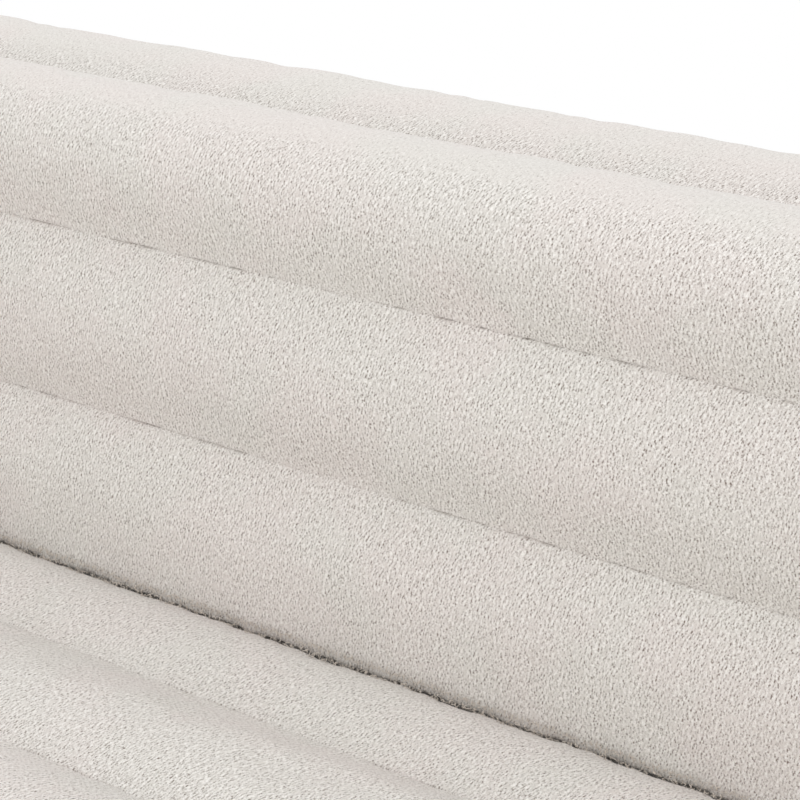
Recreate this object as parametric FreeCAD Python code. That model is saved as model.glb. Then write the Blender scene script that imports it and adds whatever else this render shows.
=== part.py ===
import FreeCAD, Part
import math
import os

V = FreeCAD.Vector

# Overall sizes, in millimetres
overall_width = 2200.0
overall_depth = 815.0
underside_height = 155.0

# Channels of the upholstered wall that makes both arms and the back
channel_pitch = 125.0
channel_crown = 20.0
outside_rows = 4
inside_rows = 2
wall_thickness = 172.0
top_roll_height = 97.5
shoulder_radius = 45.0
valley_drop = 23.0
corner_radius = 50.0
tuck_crown = 6.0

# Layers of the upholstery
cover_thickness = 2.0
foam_depth = 25.0
panel_thickness = 3.0
turn_under = 46.0

# Timber
board_thickness = 22.0
rail_thickness = 45.0
rail_height = 93.0
tack_rail_depth = 32.0
tack_rail_height = 45.0
cross_rail_width = 90.0
cross_rail_count = 3
back_post_count = 6
corner_block_leg = 70.0
corner_block_height = 45.0

# Back webbing
webbing_width = 60.0
webbing_thickness = 2.5
webbing_count = 10
webbing_end_gap = 5.0

# Seat platform and suspension
front_setback = 25.0
front_pad_overhang = 25.5
deck_cloth_thickness = 1.0
insulator_thickness = 0.8
spring_count = 14
spring_width = 56.0
spring_wire_diameter = 3.8
spring_loop_pitch = 30.0
clip_width = 16.0
clip_depth = 14.0
clip_thickness = 1.2
tie_wire_count = 3
tie_wire_diameter = 3.0

# Seat cushion
cushion_height = 146.0
cushion_crown = 20.0
cushion_pitch = 125.0
cushion_rear_channel = 92.0
cushion_front_channel_least = 90.0
cushion_shoulder_radius = 35.0
boxing_recess = 4.5

# Cushion zip
zip_tape_height = 28.0
zip_tape_thickness = 0.8
zip_teeth_height = 5.0
zip_teeth_thickness = 1.2
zip_end_margin = 60.0
zip_height_on_boxing = 45.0
slider_length = 14.0
slider_plate_thickness = 1.2
slider_lip = 1.5

# Legs and their fixings
leg_top_radius = 26.0
leg_foot_radius = 16.0
leg_plate_size = 70.0
leg_plate_thickness = 3.0
glide_radius = 14.0
glide_thickness = 6.0
leg_bolt_radius = 4.0
leg_bolt_depth_in_leg = 32.0
leg_bolt_depth_in_board = 14.0
plate_screw_radius = 2.0
plate_screw_head_radius = 4.0
plate_screw_head_height = 1.8
plate_screw_depth = 15.0
plate_screw_edge = 8.0
centre_leg_gap = 15.5

# Dust cover under the seat
dust_cover_thickness = 1.0
dust_cover_margin = 12.0
dust_cover_front_margin = 37.5
dust_cover_hole_clearance = 1.5

# Clearances
slip_clearance = 0.3
cushion_clearance = 0.8
wire_clearance = 0.1
bolt_clearance = 0.2
screw_clearance = 0.1

# Heights worked out from the sizes above
top_seam_height = underside_height + outside_rows * channel_pitch
top_height = top_seam_height + top_roll_height
valley_height = top_height - valley_drop
tuck_seam_height = top_seam_height - inside_rows * channel_pitch
deck_height = underside_height + channel_pitch
frame_bottom = underside_height + cover_thickness
frame_top = valley_height - foam_depth
board_floor = frame_bottom + board_thickness
board_ceiling = frame_top - board_thickness
rail_top = frame_bottom + rail_height
wire_radius = spring_wire_diameter / 2
wire_height = rail_top + clip_thickness + wire_clearance + wire_radius
clip_top = wire_height + wire_radius + wire_clearance + clip_thickness
insulator_bottom = clip_top + wire_clearance
insulator_top = insulator_bottom + insulator_thickness
deck_pad_top = deck_height - deck_cloth_thickness
cushion_bottom = deck_height + slip_clearance
cushion_top = cushion_bottom + cushion_height

# Distances from the middle plane of the wall
half_wall = wall_thickness / 2
wall_reach = half_wall + channel_crown
foam_base = half_wall - foam_depth
frame_half = foam_base - panel_thickness
corner_shift = half_wall - corner_radius
frame_corner_radius = frame_half - corner_shift

# Middle planes of the arms and the back, and the planes of the seat
arm_middle = overall_width / 2 - wall_reach
back_middle = overall_depth / 2 - wall_reach
arm_hip = -(overall_depth / 2 - wall_reach)
arm_inner_seam = arm_middle - half_wall
arm_inner_crest = arm_middle - wall_reach
back_inner_seam = back_middle - half_wall
back_inner_crest = back_middle - wall_reach
tuck_reach_x = arm_inner_seam - tuck_crown
tuck_reach_y = back_inner_seam - tuck_crown
seat_front_crest = -overall_depth / 2 + front_setback
seat_front_seam = seat_front_crest + channel_crown
frame_inner_x = arm_middle - frame_half
frame_inner_y = back_middle - frame_half
frame_front_y = arm_hip - frame_half
rail_front_y = seat_front_seam + foam_depth
rail_inner_front_y = rail_front_y + rail_thickness
rail_inner_rear_y = frame_inner_y - rail_thickness
rail_inner_x = frame_inner_x - rail_thickness
front_pad_rear_y = rail_front_y + front_pad_overhang

# The cushion lies between the crests of the rolls around it
cushion_half_width = arm_inner_crest - cushion_clearance
cushion_rear_y = back_inner_crest - cushion_clearance
cushion_front_y = seat_front_crest


class Bow:
    """A round stretch of an outline, run from one angle to another in degrees."""

    def __init__(self, across, up, radius, begin, end):
        self.across = across
        self.up = up
        self.radius = radius
        self.begin = begin
        self.end = end

    def at(self, angle):
        turn = math.radians(angle)
        return (self.across + self.radius * math.cos(turn),
                self.up + self.radius * math.sin(turn))

    def points(self):
        middle = (self.begin + self.end) / 2
        return [self.at(self.begin), self.at(middle), self.at(self.end)]

    def turned_back(self):
        return Bow(self.across, self.up, self.radius, self.end, self.begin)


def turned_back(stretches):
    """The same stretches of an outline, run the other way."""
    return [part.turned_back() if isinstance(part, Bow) else part for part in reversed(stretches)]


def outline_face(stretches):
    """A face in the YZ plane from points and bows, joined in order by straight lines."""
    edges = []
    runs = [part.points() if isinstance(part, Bow) else [part] for part in stretches]
    for index, run in enumerate(runs):
        places = [V(0, across, up) for across, up in run]
        if len(places) == 3:
            edges.append(Part.Arc(*places).toShape())
        onward = V(0, *runs[(index + 1) % len(runs)][0])
        if places[-1].distanceToPoint(onward) > Part.Precision.confusion():
            edges.append(Part.makeLine(places[-1], onward))
    return Part.Face(Part.Wire(edges))


def box(x_low, x_high, y_low, y_high, z_low, z_high):
    """A block between two corners."""
    return Part.makeBox(x_high - x_low, y_high - y_low, z_high - z_low, V(x_low, y_low, z_low))


def prism(points, z_low, z_high):
    """An upright prism over a plan outline."""
    corners = [V(x, y, z_low) for x, y in points]
    return Part.Face(Part.makePolygon(corners + corners[:1])).extrude(V(0, 0, z_high - z_low))


def one_solid(shapes):
    """One solid from pieces that share faces."""
    joined = shapes[0] if len(shapes) == 1 else shapes[0].multiFuse(shapes[1:])
    return joined.removeSplitter().Solids[0]


def mirrored(shape):
    """The same piece for the other side of the sofa."""
    return shape.mirror(V(0, 0, 0), V(1, 0, 0))


def save(node, shapes):
    """Write one node as a STEP file, with its solids kept apart."""
    solids = [solid for shape in shapes for solid in shape.Solids]
    shape = solids[0] if len(solids) == 1 else Part.makeCompound(solids)
    shape.exportStep(os.path.join("parts", node + ".step"))


def save_pair(stem, right_shape):
    """Write a right-hand piece and its mirror image."""
    save(stem + "_right", [right_shape])
    save(stem + "_left", [mirrored(right_shape)])


# Half section of the wall: distance from its middle plane, and height

def roll(low, high, crown, inset):
    """The round face of one channel between two seams, lying inset behind the cover's face."""
    half = (high - low) / 2
    radius = (half ** 2 + crown ** 2) / (2 * crown)
    reach = radius - inset
    spread = math.degrees(math.asin(half / reach))
    return Bow(half_wall + crown - radius, (low + high) / 2, reach, -spread, spread)


def top_roll(inset):
    """The top channel: its face, its shoulder, and its top down to the valley seam."""
    face = roll(top_seam_height, top_seam_height + channel_pitch, channel_crown, inset)
    radius = face.radius + inset
    rise = top_height - shoulder_radius - face.up
    tilt = math.degrees(math.asin(rise / (radius - shoulder_radius)))
    run = (radius - shoulder_radius) * math.cos(math.radians(tilt))
    crest = face.across + run
    top_radius = (crest ** 2 + valley_drop ** 2) / (2 * valley_drop)
    lean = math.degrees(math.asin(crest / (top_radius - inset)))
    return [
        Bow(face.across, face.up, face.radius, face.begin, tilt),
        Bow(crest, face.up + rise, shoulder_radius - inset, tilt, 90),
        Bow(crest, top_height - top_radius, top_radius - inset, 90, 90 + lean),
    ]


def channel_faces(bottom, rows, inset):
    """Channels stacked upwards from a seam, then the top roll."""
    faces = []
    for row in range(rows):
        low = bottom + row * channel_pitch
        faces.append(roll(low, low + channel_pitch, channel_crown, inset))
    return faces + top_roll(inset)


def outer_curve(inset):
    """The face from the underside to the valley, as on the outside and the arm fronts."""
    return channel_faces(underside_height, outside_rows, inset)


def inner_curve(inset):
    """The face from the seat rails to the valley, plain where the cushion hides it."""
    tuck = roll(rail_top, tuck_seam_height, tuck_crown, inset)
    return [tuck] + channel_faces(tuck_seam_height, inside_rows, inset)


def above(low, across_low=0.0):
    """The part of the section plane that lies above a height and beyond a distance."""
    far = 2 * wall_reach
    high = 2 * top_height
    return outline_face([(across_low, low), (far, low), (far, high), (across_low, high)])


def cover_section(curve):
    """The cover between its own face and its back."""
    return outline_face(curve(0.0) + turned_back(curve(cover_thickness)))


def hemmed_cover_section():
    """The outer cover with its hem turned under the frame."""
    hem_inner = half_wall - turn_under
    hem = outline_face([
        (hem_inner, underside_height),
        (half_wall, underside_height),
        (half_wall, frame_bottom),
        (hem_inner, frame_bottom),
    ])
    return cover_section(outer_curve).fuse(hem).removeSplitter().Faces[0]


def foam_section(curve, bottom):
    """Foam from the back of the cover to the frame, over half of the top."""
    face = curve(cover_thickness + slip_clearance)
    start = face[0].points()[0]
    base = [(0.0, frame_top), (foam_base, frame_top), (foam_base, start[1])]
    return outline_face(face + base).common(above(bottom)).Faces[0]


def panel_section(bottom):
    """Hardboard on the side of the frame."""
    return outline_face([
        (frame_half, bottom),
        (foam_base, bottom),
        (foam_base, frame_top),
        (frame_half, frame_top),
    ])


# Ends of a run of wall, in plan: along the run past its end, and out from the middle plane

def rounded_end():
    return [(0.0, 0.0), (corner_shift, corner_shift), (corner_shift, 2 * wall_reach)]


def inward_end():
    return [(0.0, 0.0), (-2 * wall_reach, 2 * wall_reach)]


def wall_run(section, length, begin, end, begin_turn=0.0, end_turn=0.0):
    """A run of wall along X with its face towards +Y.

    The section is drawn out along the run and cut in plan at both ends. A turn
    carries it on round a rounded corner, through that many degrees.
    """
    plan = [(-past, out) for past, out in reversed(begin)]
    plan += [(length + past, out) for past, out in end]
    reach = 2 * wall_reach
    drawn = section.translated(V(-reach, 0, 0)).extrude(V(length + 2 * reach, 0, 0))
    pieces = [drawn.common(prism(plan, 0.0, 2 * top_height))]
    for turn, place, way in ((begin_turn, -corner_shift, 1), (end_turn, length + corner_shift, -1)):
        if turn:
            beyond = section.common(above(0.0, corner_shift))
            axis = V(place, corner_shift, 0)
            for face in beyond.translated(V(place, 0, 0)).Faces:
                pieces.append(face.revolve(axis, V(0, 0, 1), way * turn))
    return one_solid(pieces)


def placed(shape, turn, x, y):
    """A run of wall turned about Z and moved to its place."""
    shape.rotate(V(0, 0, 0), V(0, 0, 1), turn)
    shape.translate(V(x, y, 0))
    return shape


arm_run = back_middle - arm_hip
back_run = 2 * arm_middle
mitre_turn = 45.0
wrap_turn = 90.0


def outside_back(section):
    run = wall_run(section, back_run, rounded_end(), rounded_end(), mitre_turn, mitre_turn)
    return placed(run, 0, -arm_middle, back_middle)


def inside_back(section):
    run = wall_run(section, back_run, inward_end(), inward_end())
    return placed(run, 180, arm_middle, back_middle)


def outside_arm(section):
    run = wall_run(section, arm_run, rounded_end(), rounded_end(), mitre_turn, 0.0)
    return placed(run, -90, arm_middle, back_middle)


def inside_arm(section):
    run = wall_run(section, arm_run, rounded_end(), inward_end())
    return placed(run, 90, arm_middle, arm_hip)


def arm_front(section):
    run = wall_run(section, 0.0, rounded_end(), rounded_end(), wrap_turn, wrap_turn)
    return placed(run, 180, arm_middle, arm_hip)


def make_wall_covers():
    """Covers, sewn to each other at the valley, the corners and the arm fronts."""
    hemmed = hemmed_cover_section()
    inner = cover_section(inner_curve)
    save("outside_back_cover", [outside_back(hemmed)])
    save("inside_back_cover", [inside_back(inner)])
    save_pair("outside_arm_cover", outside_arm(hemmed))
    save_pair("inside_arm_cover", inside_arm(inner))
    save_pair("arm_front_cover", arm_front(hemmed))


def make_wall_foam():
    """Foam pads under the covers."""
    outer = foam_section(outer_curve, frame_bottom)
    inner = foam_section(inner_curve, rail_top)
    save("outside_back_foam", [outside_back(outer)])
    save("inside_back_foam", [inside_back(inner)])
    save_pair("outside_arm_foam", outside_arm(outer))
    save_pair("inside_arm_foam", inside_arm(inner))
    save_pair("arm_front_foam", arm_front(outer))


def make_panels():
    """Hardboard panels; the outside arm panel wraps round the front of the arm."""
    full = panel_section(frame_bottom)
    save("back_outside_panel", [outside_back(full)])
    save_pair("arm_outside_panel", one_solid([outside_arm(full), arm_front(full)]))
    save_pair("arm_inside_panel", inside_arm(panel_section(rail_top)))


# Timber frame

def rounded_board(x_low, x_high, y_low, y_high, z_low, z_high, rounded_x, rounded_y):
    """A board with its upright edges rounded at the given corners."""
    board = box(x_low, x_high, y_low, y_high, z_low, z_high)
    chosen = []
    for edge in board.Edges:
        foot, head = (vertex.Point for vertex in edge.Vertexes)
        upright = abs(foot.z - head.z) > Part.Precision.confusion()
        at_x = any(abs(foot.x - x) < slip_clearance for x in rounded_x)
        at_y = any(abs(foot.y - y) < slip_clearance for y in rounded_y)
        if upright and at_x and at_y:
            chosen.append(edge)
    return board.makeFillet(frame_corner_radius, chosen)


def arm_board(z_low, z_high):
    """A board that fills the arm's frame in plan, rounded at the front."""
    inner = arm_middle - frame_half
    outer = arm_middle + frame_half
    ends = (inner, outer)
    return rounded_board(
        inner, outer, frame_front_y, frame_inner_y, z_low, z_high, ends, (frame_front_y,))


def back_board(z_low, z_high):
    """A board that fills the back's frame in plan, rounded at the rear corners."""
    outer = arm_middle + frame_half
    rear = back_middle + frame_half
    return rounded_board(-outer, outer, frame_inner_y, rear, z_low, z_high, (-outer, outer), (rear,))


def spread(low, high, count):
    """Evenly spaced places from the first to the last."""
    return [low + (high - low) * index / (count - 1) for index in range(count)]


def tack_rail_in_back():
    """The rail that the lower edge of the inside back is tacked to."""
    outer = arm_middle + frame_half
    return box(-outer, outer, frame_inner_y, frame_inner_y + tack_rail_depth,
               deck_height, deck_height + tack_rail_height)


def tack_rail_in_arm():
    """The rail that the lower edge of the inside arm is tacked to."""
    return box(frame_inner_x, frame_inner_x + tack_rail_depth,
               frame_front_y + board_thickness, frame_inner_y,
               deck_height, deck_height + tack_rail_height)


def back_post_places():
    end = arm_middle + frame_half - board_thickness / 2
    return spread(-end, end, back_post_count)


def make_back_frame():
    """Base board, top board and posts of the back, with its tack rail let into the posts."""
    save("back_base_board", [drilled_for_legs(back_board(frame_bottom, board_floor))])
    save("back_top_board", [back_board(board_ceiling, frame_top)])
    rail = tack_rail_in_back()
    save("back_tack_rail", [rail])
    between = back_board(board_floor, board_ceiling)
    posts = []
    for x in back_post_places():
        slab = box(x - board_thickness / 2, x + board_thickness / 2, frame_inner_y,
                   back_middle + frame_half, board_floor, board_ceiling)
        posts.append(slab.common(between).cut(rail))
    save("back_posts", posts)


def make_arm_frames():
    """Base boards, top boards, posts and tack rails of both arms."""
    save_pair("arm_base_board", drilled_for_legs(arm_board(frame_bottom, board_floor)))
    save_pair("arm_top_board", arm_board(board_ceiling, frame_top))
    rail = tack_rail_in_arm()
    save("arm_tack_rails", [rail, mirrored(rail)])
    between = arm_board(board_floor, board_ceiling)
    first = frame_front_y + board_thickness / 2
    last = frame_inner_y - board_thickness / 2
    posts = []
    for y in (first, (first + last) / 2, last):
        slab = box(arm_middle - frame_half, arm_middle + frame_half,
                   y - board_thickness / 2, y + board_thickness / 2, board_floor, board_ceiling)
        post = slab.common(between).cut(rail)
        posts += [post, mirrored(post)]
    save("arm_posts", posts)


def cross_rail_places():
    step = 2 * rail_inner_x / (cross_rail_count + 1)
    return [step * (index + 1) - rail_inner_x for index in range(cross_rail_count)]


def corner_block(x_sign, y_corner, y_sign):
    """A three-cornered block glued into a corner of the seat platform."""
    x_corner = x_sign * rail_inner_x
    corners = [
        (x_corner, y_corner),
        (x_corner - x_sign * corner_block_leg, y_corner),
        (x_corner, y_corner + y_sign * corner_block_leg),
    ]
    return prism(corners, frame_bottom, frame_bottom + corner_block_height)


def make_seat_platform():
    """The rails that carry the springs, and what braces them."""
    save("front_rail", [box(-frame_inner_x, frame_inner_x, rail_front_y, rail_inner_front_y,
                            frame_bottom, rail_top)])
    save("rear_rail", [box(-frame_inner_x, frame_inner_x, rail_inner_rear_y, frame_inner_y,
                           frame_bottom, rail_top)])
    save_pair("end_rail", box(rail_inner_x, frame_inner_x, rail_inner_front_y, rail_inner_rear_y,
                              frame_bottom, rail_top))
    rails = []
    for x in cross_rail_places():
        rails.append(box(x - cross_rail_width / 2, x + cross_rail_width / 2,
                         rail_inner_front_y, rail_inner_rear_y, frame_bottom, board_floor))
    rails = [drilled_for_legs(rail) for rail in rails]
    save("cross_rails", rails)
    blocks = []
    for x_sign in (-1, 1):
        blocks.append(corner_block(x_sign, rail_inner_front_y, 1))
        blocks.append(corner_block(x_sign, rail_inner_rear_y, -1))
    save("corner_blocks", blocks)


# Springs

def spring_ends():
    """Where the first and the last bar of each spring lie in their clips."""
    return rail_inner_front_y - clip_depth / 2, rail_inner_rear_y + clip_depth / 2


def spring_places():
    step = 2 * rail_inner_x / spring_count
    return [step * (index + 0.5) - rail_inner_x for index in range(spring_count)]


def make_spring(x):
    """A flat sinuous spring: bars across, joined by half loops at alternate sides."""
    first, last = spring_ends()
    loops = max(1, round((last - first) / spring_loop_pitch))
    pitch = (last - first) / loops
    bend = pitch / 2
    half_bar = spring_width / 2 - bend
    edges = []
    side = 1
    for index in range(loops + 1):
        y = first + index * pitch
        start = V(x - side * half_bar, y, wire_height)
        finish = V(x + side * half_bar, y, wire_height)
        edges.append(Part.makeLine(start, finish))
        if index < loops:
            outermost = V(x + side * (half_bar + bend), y + bend, wire_height)
            onward = V(x + side * half_bar, y + pitch, wire_height)
            edges.append(Part.Arc(finish, outermost, onward).toShape())
        side = -side
    path = Part.Wire(edges)
    ring = Part.Wire(Part.makeCircle(wire_radius, V(x - half_bar, first, wire_height), V(1, 0, 0)))
    return path.makePipeShell([ring], True, True)


def clip(x, y, opening):
    """A clip bent round the end bar of a spring, closed on the side that the spring pulls to."""
    bar_room = wire_radius + wire_clearance
    closed = y - opening * (bar_room + clip_thickness)
    inner = y - opening * bar_room
    far = y + opening * clip_depth / 2
    roof = wire_height + bar_room
    floor = wire_height - bar_room
    section = outline_face([
        (closed, rail_top),
        (far, rail_top),
        (far, floor),
        (inner, floor),
        (inner, roof),
        (y + opening * bar_room, roof),
        (y + opening * bar_room, clip_top),
        (closed, clip_top),
    ])
    return section.translated(V(x - clip_width / 2, 0, 0)).extrude(V(clip_width, 0, 0))


def make_suspension():
    """Springs in their clips, wires that tie them, and the cloth over them."""
    first, last = spring_ends()
    save("seat_springs", [make_spring(x) for x in spring_places()])
    clips = []
    for x in spring_places():
        clips.append(clip(x, first, -1))
        clips.append(clip(x, last, 1))
    save("spring_clips", clips)
    tie_radius = tie_wire_diameter / 2
    tie_height = wire_height - wire_radius - wire_clearance - tie_radius
    tie_half = spring_places()[-1] + spring_width / 2
    step = (rail_inner_rear_y - rail_inner_front_y) / (tie_wire_count + 1)
    ties = []
    for index in range(tie_wire_count):
        y = rail_inner_front_y + step * (index + 1)
        ties.append(Part.makeCylinder(tie_radius, 2 * tie_half, V(-tie_half, y, tie_height), V(1, 0, 0)))
    save("spring_tie_wires", ties)


def deck_layer(z_low, z_high):
    """A layer of the deck inside the covers around it."""
    half = tuck_reach_x - slip_clearance
    return box(-half, half, front_pad_rear_y + slip_clearance, tuck_reach_y - slip_clearance,
               z_low, z_high)


def make_deck():
    save("spring_insulator", [deck_layer(insulator_bottom, insulator_top)])
    save("deck_pad", [deck_layer(insulator_top, deck_pad_top)])
    save("deck_cloth", [deck_layer(deck_pad_top, deck_height)])


# The roll along the front rail

def front_curve(inset):
    """The front rail's channel, drawn towards the front as a distance from its seam plane."""
    half = channel_pitch / 2
    radius = (half ** 2 + channel_crown ** 2) / (2 * channel_crown)
    bow = radius - inset
    spread_angle = math.degrees(math.asin(half / bow))
    middle = underside_height + half
    centre = seat_front_seam - channel_crown + radius
    return Bow(centre, middle, bow, 180 + spread_angle, 180 - spread_angle)


def filled_section(curve, bottom):
    """Everything between the middle plane and a face, with a slip clearance on the face."""
    return outline_face(curve(-slip_clearance) + [(0.0, bottom)])


def fitted_between_arms(shape):
    """The shape with the arms and a slip clearance cut out of it."""
    front = arm_front(filled_section(outer_curve, underside_height))
    inside = inside_arm(filled_section(inner_curve, rail_top))
    pieces = shape.cut([front, inside, mirrored(front), mirrored(inside)]).Solids
    return max(pieces, key=lambda piece: piece.Volume)


def make_front_roll():
    """Foam and cover on the front rail, between the arms."""
    width = 2 * frame_inner_x
    back = cover_thickness + slip_clearance
    foam_top = deck_height - back
    outer = front_curve(0.0)
    inner = front_curve(cover_thickness)
    hem_rear = seat_front_seam + turn_under
    cover = outline_face([
        (hem_rear, underside_height),
        outer,
        (front_pad_rear_y, deck_height),
        (front_pad_rear_y, deck_height - cover_thickness),
        (inner.at(inner.end)[0], deck_height - cover_thickness),
        Bow(inner.across, inner.up, inner.radius, *clipped_angles(inner, frame_bottom,
                                                                    deck_height - cover_thickness)),
        (hem_rear, frame_bottom),
    ])
    foam_bow = front_curve(back)
    foam = outline_face([
        (rail_front_y, frame_bottom),
        Bow(foam_bow.across, foam_bow.up, foam_bow.radius,
            *reversed(clipped_angles(foam_bow, frame_bottom, foam_top))),
        (front_pad_rear_y, foam_top),
        (front_pad_rear_y, insulator_top),
        (rail_front_y, insulator_top),
    ])
    for node, section in (("front_rail_cover", cover), ("front_rail_foam", foam)):
        drawn = section.translated(V(-width / 2, 0, 0)).extrude(V(width, 0, 0))
        save(node, [fitted_between_arms(drawn)])


def clipped_angles(bow, low, high):
    """The angles at which a bow on the front side passes two heights, upper one first."""
    def angle(height):
        return 180 - math.degrees(math.asin((height - bow.up) / bow.radius))
    return angle(high), angle(low)


# Seat cushion

def cushion_seams():
    """Where the seams across the top of the cushion lie, from the rear."""
    seams = [cushion_rear_y - cushion_rear_channel]
    while seams[-1] - cushion_pitch - cushion_front_y >= cushion_front_channel_least:
        seams.append(seams[-1] - cushion_pitch)
    return seams


def cushion_bow(high_y, low_y, inset):
    """One channel on top of the cushion between two seams."""
    half = (high_y - low_y) / 2
    radius = (half ** 2 + cushion_crown ** 2) / (2 * cushion_crown)
    reach = radius - inset
    lean = math.degrees(math.asin(half / reach))
    return Bow((high_y + low_y) / 2, cushion_top - radius, reach, 90 - lean, 90 + lean)


def edge_bows(edge_y, seam_y, inset):
    """The channel at an edge of the cushion: its shoulder, and its top down to the seam."""
    way = 1 if edge_y > seam_y else -1
    crest = edge_y - way * cushion_shoulder_radius
    bend = cushion_shoulder_radius - inset
    under = math.degrees(math.acos((cushion_shoulder_radius - boxing_recess - inset) / bend))
    run = abs(crest - seam_y)
    radius = (run ** 2 + cushion_crown ** 2) / (2 * cushion_crown)
    lean = math.degrees(math.asin(run / (radius - inset)))
    shoulder_up = cushion_top - cushion_shoulder_radius
    if way > 0:
        return [Bow(crest, shoulder_up, bend, -under, 90),
                Bow(crest, cushion_top - radius, radius - inset, 90, 90 + lean)]
    return [Bow(crest, cushion_top - radius, radius - inset, 90 - lean, 90),
            Bow(crest, shoulder_up, bend, 90, 180 + under)]


def cushion_body(inset):
    """The cushion's shape, drawn in by an inset on every side."""
    seams = cushion_seams()
    stretches = [(cushion_rear_y - boxing_recess - inset, cushion_bottom + inset)]
    stretches += edge_bows(cushion_rear_y, seams[0], inset)
    for high_y, low_y in zip(seams, seams[1:]):
        stretches.append(cushion_bow(high_y, low_y, inset))
    stretches += edge_bows(cushion_front_y, seams[-1], inset)
    stretches.append((cushion_front_y + boxing_recess + inset, cushion_bottom + inset))
    half = cushion_half_width - inset
    return outline_face(stretches).translated(V(-half, 0, 0)).extrude(V(2 * half, 0, 0))


def make_cushion():
    save("seat_cushion_cover", [cushion_body(0.0).cut(cushion_body(cover_thickness))])
    save("seat_cushion_core", [cushion_body(cover_thickness + slip_clearance)])


def make_zip():
    """The zip on the rear boxing, and its slider at the left end."""
    half = cushion_half_width - zip_end_margin
    middle = cushion_bottom + zip_height_on_boxing
    boxing = cushion_rear_y - boxing_recess
    tape_face = boxing + zip_tape_thickness
    teeth_face = tape_face + zip_teeth_thickness
    tape = box(-half, half, boxing, tape_face,
               middle - zip_tape_height / 2, middle + zip_tape_height / 2)
    teeth = box(-half, half, tape_face, teeth_face,
                middle - zip_teeth_height / 2, middle + zip_teeth_height / 2)
    save("cushion_zip", [one_solid([tape, teeth])])
    bore_half = zip_teeth_height / 2 + slip_clearance
    outer_half = bore_half + slider_lip
    inner_face = teeth_face + slip_clearance
    near = tape_face + slip_clearance
    section = outline_face([
        (near, middle - outer_half),
        (near, middle - bore_half),
        (inner_face, middle - bore_half),
        (inner_face, middle + bore_half),
        (near, middle + bore_half),
        (near, middle + outer_half),
        (inner_face + slider_plate_thickness, middle + outer_half),
        (inner_face + slider_plate_thickness, middle - outer_half),
    ])
    save("zip_slider", [section.translated(V(-half, 0, 0)).extrude(V(slider_length, 0, 0))])


# Webbing on the front of the back frame

def make_back_webbing():
    """Upright strips from the base board to the top board, between the arms."""
    end = frame_inner_x - webbing_end_gap - webbing_width / 2
    save("back_webbing", [box(x - webbing_width / 2, x + webbing_width / 2,
                              frame_inner_y - webbing_thickness, frame_inner_y,
                              rail_top, frame_top)
                          for x in spread(-end, end, webbing_count)])


# Legs and fixings

def corner_leg_places():
    return {
        "front_left": (-arm_middle, arm_hip),
        "front_right": (arm_middle, arm_hip),
        "rear_left": (-arm_middle, back_middle),
        "rear_right": (arm_middle, back_middle),
    }


def centre_leg_places():
    """Under the middle cross rail, with their plates a gap away from the long rails."""
    inset = leg_plate_size / 2 + centre_leg_gap
    x = cross_rail_places()[cross_rail_count // 2]
    return [(x, rail_inner_front_y + inset), (x, rail_inner_rear_y - inset)]


def leg_places():
    return list(corner_leg_places().values()) + centre_leg_places()


def screw_places(x, y):
    arm = leg_plate_size / 2 - plate_screw_edge
    return [(x + i * arm, y + j * arm) for i in (-1, 1) for j in (-1, 1)]


def leg(x, y):
    """A tapered round leg, bored for its bolt."""
    top = frame_bottom - leg_plate_thickness
    body = Part.makeCone(leg_foot_radius, leg_top_radius, top - glide_thickness,
                         V(x, y, glide_thickness))
    bore = Part.makeCylinder(leg_bolt_radius + bolt_clearance, leg_bolt_depth_in_leg,
                             V(x, y, top - leg_bolt_depth_in_leg))
    return body.cut(bore)


def drilled_for_legs(board):
    """A board with its holes for the leg bolts and plate screws above it."""
    drills = []
    for x, y in leg_places():
        drills.append(Part.makeCylinder(leg_bolt_radius + bolt_clearance, leg_bolt_depth_in_board,
                                        V(x, y, frame_bottom)))
        for screw_x, screw_y in screw_places(x, y):
            drills.append(Part.makeCylinder(plate_screw_radius + screw_clearance, plate_screw_depth,
                                            V(screw_x, screw_y, frame_bottom)))
    return board.cut(drills)


def leg_plate(x, y):
    half = leg_plate_size / 2
    low = frame_bottom - leg_plate_thickness
    plate = box(x - half, x + half, y - half, y + half, low, frame_bottom)
    holes = [Part.makeCylinder(leg_bolt_radius + bolt_clearance, leg_plate_thickness, V(x, y, low))]
    for screw_x, screw_y in screw_places(x, y):
        holes.append(Part.makeCylinder(plate_screw_radius + screw_clearance, leg_plate_thickness,
                                       V(screw_x, screw_y, low)))
    return plate.cut(holes)


def plate_screw(x, y):
    low = frame_bottom - leg_plate_thickness
    head = Part.makeCylinder(plate_screw_head_radius, plate_screw_head_height,
                             V(x, y, low - plate_screw_head_height))
    shank = Part.makeCylinder(plate_screw_radius, leg_plate_thickness + plate_screw_depth,
                              V(x, y, low))
    return one_solid([head, shank])


def leg_bolt(x, y):
    low = frame_bottom - leg_plate_thickness - leg_bolt_depth_in_leg
    length = leg_bolt_depth_in_leg + leg_plate_thickness + leg_bolt_depth_in_board
    return Part.makeCylinder(leg_bolt_radius, length, V(x, y, low))


def make_legs():
    for name, place in corner_leg_places().items():
        save("leg_" + name, [leg(*place)])
    save("centre_legs", [leg(*place) for place in centre_leg_places()])
    save("leg_plates", [leg_plate(*place) for place in leg_places()])
    save("leg_bolts", [leg_bolt(*place) for place in leg_places()])
    save("leg_glides", [Part.makeCylinder(glide_radius, glide_thickness, V(x, y, 0))
                        for x, y in leg_places()])
    screws = [plate_screw(*spot) for place in leg_places() for spot in screw_places(*place)]
    save("plate_screws", screws)


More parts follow.
